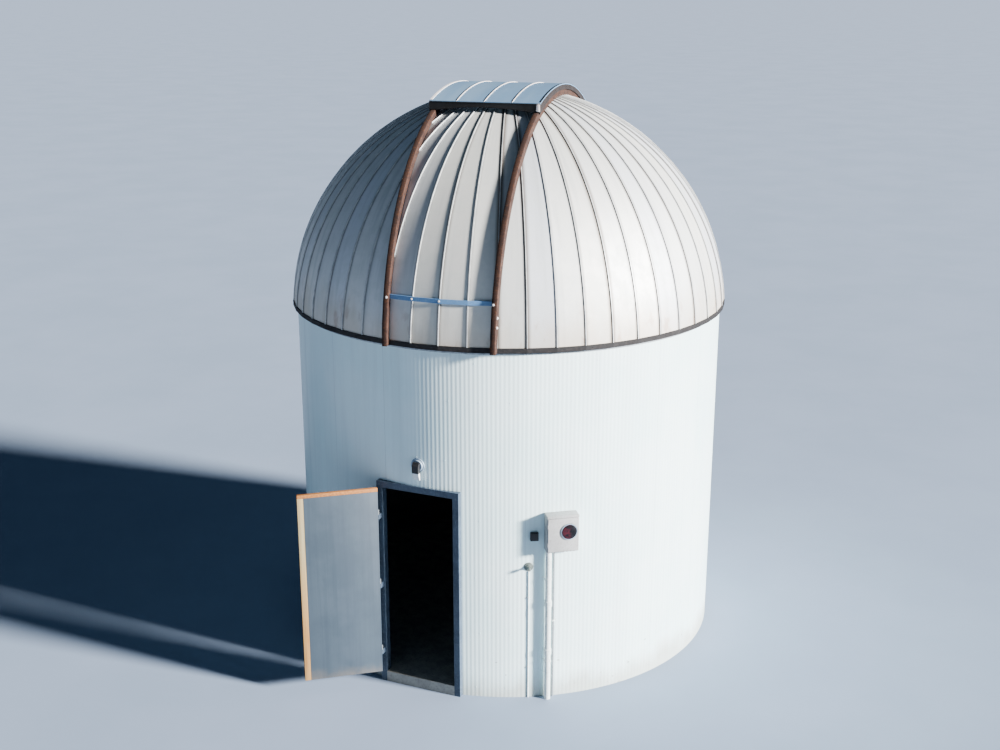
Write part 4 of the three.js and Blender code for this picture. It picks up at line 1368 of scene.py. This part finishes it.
nail_left, nail_right = LEAF_START + NAIL_EDGE_X, core_end - NAIL_EDGE_X
nail_low, nail_high = LEAF_BOTTOM + NAIL_EDGE_Z, core_top - NAIL_EDGE_Z
nails = []
for y, way in ((LEAF_FRONT + NAIL_SINK, -1), (LEAF_BACK - NAIL_SINK, 1)):
    facing = DOOR_DIRECTIONS @ Vector((0, way, 0))
    for z in evenly(nail_low, nail_high, NAIL_STEPS_UP):
        nails += [(DOOR_FRAME @ Vector((x, y, z)), facing) for x in (nail_left, nail_right)]
    for x in evenly(nail_left, nail_right, NAIL_STEPS_ACROSS)[1:-1]:
        nails += [(DOOR_FRAME @ Vector((x, y, z)), facing) for z in (nail_low, nail_high)]
door_nails = heads_on("door_nails", nails, NAIL_SIZE, DOOR_PAINT_AND_SHADE)
register(door_nails, "door", "zinc")

hinge_bolts = []
for z in HINGE_HEIGHTS:
    for x in HINGE_BOLTS_X:
        p = Vector((x, LEAF_FRONT - SEAT - STRAP_THICKNESS, z + STRAP_MIDDLE))
        hinge_bolts.append((DOOR_FRAME @ p, DOOR_DIRECTIONS @ Vector((0, -1, 0))))
door_bolts = heads_on("door_strap_bolts", hinge_bolts, HINGE_BOLT_SIZE, ZINC)
register(door_bolts, "door", "zinc")

# %% [markdown]
# ## Fittings on the wall
#
# A meter in a grey enclosure, its conduits, a spigot, a small black cable box and a lamp over the
# door. All but the lamp have a frame of their own: the origin on the building's axis at the ground,
# turned to the fitting's azimuth, so that x runs along the wall to the right as seen from outside,
# y into the wall and z up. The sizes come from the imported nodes, so that each fitting stays on the
# wall.

# %% Frames of the fittings
def wall_frame(azimuth):
    return Matrix.Rotation(math.radians(azimuth), 4, "Z")


def local_box(node, place):
    """Lowest and highest corners of a node in a fitting's own frame."""
    back = place.inverted()
    points = [back @ v.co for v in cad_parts[node].data.vertices]
    return [Vector(tuple(pick(p[i] for p in points) for i in range(3))) for pick in (min, max)]


CONDUIT_AZ, THIN_AZ = 32.6, 34.1
SPIGOT_AZ, CABLE_AZ = 27.9, 29.2
meter_place = wall_frame(METER_AZ)
box_low, box_high = local_box("meter_box", meter_place)
print("meter box", tuple(round(v, 3) for v in box_high - box_low))

# %% [markdown]
# The enclosure is a box with a cover on its front, a narrow hood above the cover, two pivots on the
# left and a latch low on the right.

# %% Meter enclosure
BOX_ROUND, COVER_ROUND, HOOD_ROUND, LATCH_ROUND = 0.006, 0.004, 0.003, 0.002
COVER = 0.012
COVER_OVERLAP = 0.004
COVER_BESIDE, COVER_BELOW, COVER_ABOVE = 0.010, 0.012, 0.03
HOOD_DEPTH, HOOD_BOTTOM, HOOD_TOP = 0.05, 0.026, 0.002
HOOD_GAP = 0.001
PIVOT_R, PIVOT_HALF = 0.005, 0.022
PIVOT_IN, PIVOT_BEHIND = 0.008, 0.006
PIVOT_LOW, PIVOT_HIGH = 0.1, 0.12
LATCH_FROM, LATCH_TO = 0.045, 0.025
LATCH_LOW, LATCH_HIGH = 0.05, 0.09
LATCH_FRONT, LATCH_BACK = 0.0005, 0.01

front = box_low.y
enclosure = rounded_box((box_low.x, front + COVER, box_low.z), box_high, BOX_ROUND, segments=3)
cover_low = (box_low.x + COVER_BESIDE, front, box_low.z + COVER_BELOW)
cover_high = (box_high.x - COVER_BESIDE, front + COVER + COVER_OVERLAP, box_high.z - COVER_ABOVE)
cover = rounded_box(cover_low, cover_high, COVER_ROUND, segments=3)
hood_low = (box_low.x + HOOD_GAP, front + HOOD_GAP, box_high.z - HOOD_BOTTOM)
hood_high = (box_high.x - HOOD_GAP, front + HOOD_DEPTH, box_high.z - HOOD_TOP)
hood = rounded_box(hood_low, hood_high, HOOD_ROUND)
pivot_profile = [(0, -PIVOT_HALF), (PIVOT_R, -PIVOT_HALF), (PIVOT_R, PIVOT_HALF), (0, PIVOT_HALF)]
pivot = turned(pivot_profile, sides=12)
pivots = [
    moved(pivot, Matrix.Translation((box_low.x + PIVOT_IN, front + PIVOT_BEHIND, z)))
    for z in (box_low.z + PIVOT_LOW, box_high.z - PIVOT_HIGH)
]
latch_low = (box_high.x - LATCH_FROM, front + LATCH_FRONT, box_low.z + LATCH_LOW)
latch_high = (box_high.x - LATCH_TO, front + LATCH_BACK, box_low.z + LATCH_HIGH)
latch = rounded_box(latch_low, latch_high, LATCH_ROUND)
enclosure_parts = together(enclosure, cover, hood, *pivots, latch)
enclosure_piece = mesh_object("meter_enclosure", *enclosure_parts, place=meter_place)
add_piece(enclosure_piece, "building", "enclosure", ENCLOSURE, "meter_box")

# %% [markdown]
# The meter is a flat dome of glass in a metal rim. Both are outlines turned about the meter's own
# axis, given in shares of its radius and of its depth, so that they fit the solid they stand for.

# %% Round meter
GLASS_PROFILE = [
    (0, 0), (1, 0), (1, 0.3), (0.93, 0.38), (0.90, 0.45), (0.86, 0.72), (0.72, 0.90), (0.42, 0.99),
    (0, 1),
]
RIM_SECTION = [(0.905, 0.30), (1.0, 0.30), (1.0, 0.46), (0.905, 0.46)]
RIM_SIDES = 48

dial_low, dial_high = local_box("meter_dial", meter_place)
dial_r = (dial_high.x - dial_low.x) / 2
depth = dial_high.y - dial_low.y
dial_middle = Vector(((dial_low.x + dial_high.x) / 2, dial_high.y, (dial_low.z + dial_high.z) / 2))
facing_out = meter_place @ Matrix.Translation(dial_middle) @ FACING_FRONT
glass_profile = [(dial_r * share, depth * height) for share, height in GLASS_PROFILE]
dial = mesh_object("meter_glass", *turned(glass_profile, sides=40), place=facing_out)
add_piece(dial, "building", "dial_glass", DIAL_GLASS, "meter_dial")
rim_stations = []
for a in evenly(0, 2 * math.pi, RIM_SIDES)[:-1]:
    rim_stations.append([polar(dial_r * share, a, depth * height) for share, height in RIM_SECTION])
rim = mesh_object("meter_rim", *swept(rim_stations, closed=True), place=facing_out)
add_piece(rim, "building", "zinc", RIM_STEEL)

# %% [markdown]
# The conduits and the spigot's supply pipe are turned about their own axes, with a thicker coupling
# where two lengths meet, and clips hold them to the wall. Four six-sided glands close the holes
# under the enclosure.

# %% Conduits, clips and glands
COUPLING_HALF, COUPLING_FLAT = 0.035, 0.033
COLLAR = 1.22
CLIP_SINK = 0.004
CLIP_SEAT, CLIP_OUTER, CLIP_REACH = 0.003, 0.006, 0.022
CLIP_THICKNESS, CLIP_HALF = 0.004, 0.008
CLIP_STEPS = 12
GLANDS_X = (0.02, 0.065, 0.11, 0.15)
GLAND_PROFILE = [
    (0, -0.028), (0.013, -0.028), (0.013, -0.012), (0.018, -0.010), (0.018, 0.002), (0, 0.002),
]


def pipe_profile(radius, low, high, couplings):
    rows = [(0, low), (radius, low)]
    collar_r = radius * COLLAR
    for z in couplings:
        rows += [(radius, z - COUPLING_HALF), (collar_r, z - COUPLING_FLAT)]
        rows += [(collar_r, z + COUPLING_FLAT), (radius, z + COUPLING_HALF)]
    return rows + [(radius, high), (0, high)]


def standing_pipe(name, node, place, couplings, material):
    """Makes a pipe from its solid's box, and gives its middle and radius in the fitting's frame."""
    low, high = local_box(node, place)
    middle = Vector(((low.x + high.x) / 2, (low.y + high.y) / 2, 0))
    radius = (high.x - low.x) / 2
    profile = pipe_profile(radius, low.z, high.z, couplings)
    made = mesh_object(name, *turned(profile, sides=24), place=place @ Matrix.Translation(middle))
    add_piece(made, "building", "pipe", material, node)
    return middle, radius


def arc(radius, start, end):
    return [radius * Vector((math.cos(a), math.sin(a), 0)) for a in evenly(start, end, CLIP_STEPS)]


def clip(middle, radius, z):
    """A band round a pipe at one height, with an ear on each side that reaches the wall."""
    wall_y = -WALL_R + CLIP_SINK
    ears = [
        Vector((radius + CLIP_SEAT, wall_y - middle.y, 0)),
        Vector((radius + CLIP_REACH, wall_y - middle.y, 0)),
        Vector((radius + CLIP_REACH, wall_y - middle.y - CLIP_THICKNESS, 0)),
        Vector((radius + CLIP_OUTER, wall_y - middle.y - CLIP_THICKNESS, 0)),
    ]
    left_ears = [Vector((-p.x, p.y, 0)) for p in reversed(ears)]
    inner = arc(radius + CLIP_SEAT, math.pi, 2 * math.pi)
    outer = arc(radius + CLIP_OUTER, 2 * math.pi, math.pi)
    shift = Vector((middle.x, middle.y, z))
    half = Vector((0, 0, CLIP_HALF))
    return swept([[p + shift + h for p in inner + ears + outer + left_ears] for h in (-half, half)])


PIPES = [
    ("meter_conduit_pipe", "meter_conduit", CONDUIT_AZ, (0.62, 1.24), PIPE_PAINT, (0.5, 1.55)),
    ("thin_conduit_pipe", "thin_conduit", THIN_AZ, (0.9,), ZINC, (1.0,)),
    ("spigot_supply_pipe", "spigot_pipe", SPIGOT_AZ, (0.55, 1.1), PIPE_PAINT, (0.4, 1.3)),
]
clips = []
for name, node, azimuth, couplings, material, clip_heights in PIPES:
    place = wall_frame(azimuth)
    middle, radius = standing_pipe(name, node, place, couplings, material)
    clips += [moved(clip(middle, radius, z), place) for z in clip_heights]
clip_piece = mesh_object("pipe_clips", *together(*clips))
add_piece(clip_piece, "building", "pipe", PIPE_PAINT)

glands = []
for x in GLANDS_X:
    gland_place = Matrix.Translation((x, (box_low.y + box_high.y) / 2, box_low.z))
    glands.append(moved(turned(GLAND_PROFILE, sides=6), gland_place))
gland_piece = mesh_object("meter_glands", *together(*glands), place=meter_place)
add_piece(gland_piece, "building", "zinc", ZINC)

# %% [markdown]
# The spigot is a plain turned body on a round plate, because its tap is too small to make out. Its
# outline is given in pairs of a radius and a distance from the wall.

# %% Spigot
PLATE_EDGE, PLATE_FACE = 0.006, 0.010
PLATE_EDGE_SHARE = 0.94
NECK = [(0.030, 0.014), (0.026, 0.029)]
ROD_R, ROD_START = 0.0115, 0.030
TAP_R, TAP_SLOPE, TAP_START, TAP_CHAMFER = 0.018, 0.035, 0.033, 0.006
TAP_END_R = 0.013

spigot_place = wall_frame(SPIGOT_AZ)
low, high = local_box("wall_spigot", spigot_place)
reach = high.y - low.y
middle = Vector(((low.x + high.x) / 2, high.y, (low.z + high.z) / 2))
plate_r = (high.x - low.x) / 2
spigot_profile = [
    (0, 0.0), (plate_r, 0.0), (plate_r, PLATE_EDGE), (plate_r * PLATE_EDGE_SHARE, PLATE_FACE), *NECK,
    (ROD_R, ROD_START), (ROD_R, reach - TAP_SLOPE), (TAP_R, reach - TAP_START),
    (TAP_R, reach - TAP_CHAMFER), (TAP_END_R, reach), (0, reach),
]
out = spigot_place @ Matrix.Translation(middle) @ FACING_FRONT
spigot = mesh_object("wall_spigot_turned", *turned(spigot_profile, sides=24), place=out)
add_piece(spigot, "building", "zinc", SPIGOT_STEEL, "wall_spigot")

# %% [markdown]
# The black cable box has a lid with a flat screw in each corner.

# %% Cable box
BASE_ROUND, LID_ROUND = 0.005, 0.004
LID_FROM, LID_TO = 0.016, 0.014
LID_INSET = 0.002
LID_SCREW_R, LID_SCREW_IN = 0.005, 0.014
LID_SCREW_TOP, LID_SCREW_SINK = 0.0006, 0.001

cable_place = wall_frame(CABLE_AZ)
low, high = local_box("cable_box", cable_place)
base = rounded_box((low.x, low.y + LID_FROM, low.z), high, BASE_ROUND)
lid_low = (low.x + LID_INSET, low.y, low.z + LID_INSET)
lid_high = (high.x - LID_INSET, low.y + LID_TO, high.z - LID_INSET)
lid = rounded_box(lid_low, lid_high, LID_ROUND)
screw_profile = [(0, -LID_SCREW_SINK), (LID_SCREW_R, -LID_SCREW_SINK), (LID_SCREW_R, 0.0), (0, 0.0)]
screw = turned(screw_profile, sides=12)
lid_screws = [
    moved(screw, Matrix.Translation((x, low.y + LID_SCREW_TOP, z)) @ FACING_FRONT)
    for x in (low.x + LID_SCREW_IN, high.x - LID_SCREW_IN)
    for z in (low.z + LID_SCREW_IN, high.z - LID_SCREW_IN)
]
cable = mesh_object("cable_box_with_lid", *together(base, lid, *lid_screws), place=cable_place)
add_piece(cable, "building", "black_plastic", BLACK, "cable_box")

# %% [markdown]
# The lamp over the door has a round plate of pale steel, a dark head that hangs forward, and a
# white lens that slants under it. The head and the lens are side outlines with a width.

# %% Lamp over the door
PLATE_DEPTH = 0.028
SHOULDER_SHARE, SHOULDER_DEPTH = 0.80, 0.012
FACE_SHARE, RIM_SHARE = 0.74, 0.97
HEAD_SINK = 0.004
HEAD_HALF = 0.04
HEAD_FLAT = 0.03
HEAD_RISE, HEAD_FRONT_RISE = 0.045, 0.01
HEAD_CUT = 0.006
LENS_FRONT, LENS_FOOT = 0.012, 0.012


def across_x(outline, low_x, high_x):
    """Points and faces of an outline of (y, z) with a width along x."""
    return swept([[Vector((x, y, z)) for y, z in outline] for x in (low_x, high_x)])


low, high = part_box("wall_lamp")
lens_low, lens_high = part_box("wall_lamp_lens")
plate_r = (high.x - low.x) / 2
plate_z = high.z - plate_r
lamp_x = (low.x + high.x) / 2
out = Matrix.Translation((lamp_x, high.y, plate_z)) @ FACING_FRONT
plate_profile = [
    (0, 0.0), (plate_r, 0.0), (plate_r, PLATE_EDGE), (plate_r * RIM_SHARE, PLATE_FACE),
    (plate_r * SHOULDER_SHARE, SHOULDER_DEPTH), (plate_r * FACE_SHARE, PLATE_DEPTH), (0, PLATE_DEPTH),
]
plate = mesh_object("lamp_plate", *turned(plate_profile, sides=40), place=out)
add_piece(plate, "building", "zinc", RIM_STEEL)
head_back = high.y - PLATE_DEPTH + HEAD_SINK
head_bottom = lens_high.z + SEAT
head_outline = [
    (head_back, plate_z + HEAD_RISE), (head_back - HEAD_FLAT, plate_z + HEAD_RISE),
    (low.y, plate_z + HEAD_FRONT_RISE), (low.y, head_bottom + HEAD_CUT),
    (low.y + HEAD_CUT, head_bottom), (head_back, head_bottom),
]
lamp = mesh_object("lamp_head", *across_x(head_outline, lamp_x - HEAD_HALF, lamp_x + HEAD_HALF))
add_piece(lamp, "building", "black_plastic", BLACK, "wall_lamp")
lens_outline = [
    (lens_high.y, lens_high.z), (lens_low.y, lens_high.z), (lens_low.y, lens_high.z - LENS_FRONT),
    (lens_high.y - LENS_FOOT, lens_low.z), (lens_high.y, lens_low.z),
]
lens = mesh_object("lamp_lens", *across_x(lens_outline, lens_low.x, lens_high.x))
add_piece(lens, "building", "lamp_lens", LENS_PLASTIC, "wall_lamp_lens")

# %% [markdown]
# ## Solids that keep their shape
#
# The floor slab, the sill, the door frame, the hinge straps and the plate with the dome's rollers
# already have the right shape, so they only get their finishes.

# %% Finishes of the solids that stay
STAYING = {
    "floor_slab": CONCRETE, "door_sill": CONCRETE,
    "door_jamb_left": FRAME_PAINT, "door_jamb_right": FRAME_PAINT, "door_head": FRAME_PAINT,
    "wall_plate_with_rollers": ZINC, "door_strap_1": ZINC, "door_strap_2": ZINC, "door_strap_3": ZINC,
}
for node, material in STAYING.items():
    finish_solid(node, material)
print(len(STAYING), "solids keep their shape")

# %% [markdown]
# ## Floor and light
#
# The floor is plain and pale. One wide light far off shines from the right and from low down, so
# the left half of the wall and of the dome lie in shade. A dim blue fill from all around lightens
# the shade. The pale blue backdrop shows to the camera alone and lights nothing.

# %% Floor and light
FLOOR_HALF = 600.0
KEY_AZIMUTH = math.radians(92)
KEY_ELEVATION = math.radians(17)
KEY_SPREAD = math.radians(8)
KEY_STRENGTH = 25.0
KEY_COLOUR = (1.0, 0.98, 0.96)
KEY_DISTANCE = 30
FILL_COLOUR = (0.38, 0.64, 1.0, 1.0)
FILL_STRENGTH = 0.1
BACKDROP_COLOUR = (0.6, 0.7, 0.85, 1.0)

floor_corners = [(x * FLOOR_HALF, y * FLOOR_HALF, 0) for x, y in ((-1, -1), (1, -1), (1, 1), (-1, 1))]
floor = mesh_object("floor", floor_corners, [(0, 1, 2, 3)])
f = Finish("floor_paint", 0.9)
f.colour(f.mix(f.ramp(f.noise(0.4), 0.3, 0.7), paint(136, 153, 177), paint(131, 148, 172)))
floor.data.materials.append(f.material)

key = bpy.data.objects.new("key", bpy.data.lights.new("key", "SUN"))
key.data.angle = KEY_SPREAD
key.data.energy = KEY_STRENGTH
key.data.color = KEY_COLOUR
towards_key = polar(math.cos(KEY_ELEVATION), KEY_AZIMUTH, math.sin(KEY_ELEVATION))
key.location = towards_key * KEY_DISTANCE
key.rotation_euler = (-towards_key).to_track_quat("-Z", "Y").to_euler()
bpy.context.scene.collection.objects.link(key)

world = bpy.data.worlds.new("sky")
bpy.context.scene.world = world
world.use_nodes = True
fill = world.node_tree.nodes["Background"]
fill.inputs["Color"].default_value = FILL_COLOUR
fill.inputs["Strength"].default_value = FILL_STRENGTH
backdrop = tree_node(world.node_tree, "ShaderNodeBackground", {"Color": BACKDROP_COLOUR})
seen = tree_node(world.node_tree, "ShaderNodeLightPath").outputs["Is Camera Ray"]
both = tree_node(
    world.node_tree, "ShaderNodeMixShader", {0: seen, 1: fill.outputs[0], 2: backdrop.outputs[0]}
)
world_end = world.node_tree.nodes["World Output"].inputs["Surface"]
world.node_tree.links.new(both.outputs[0], world_end)
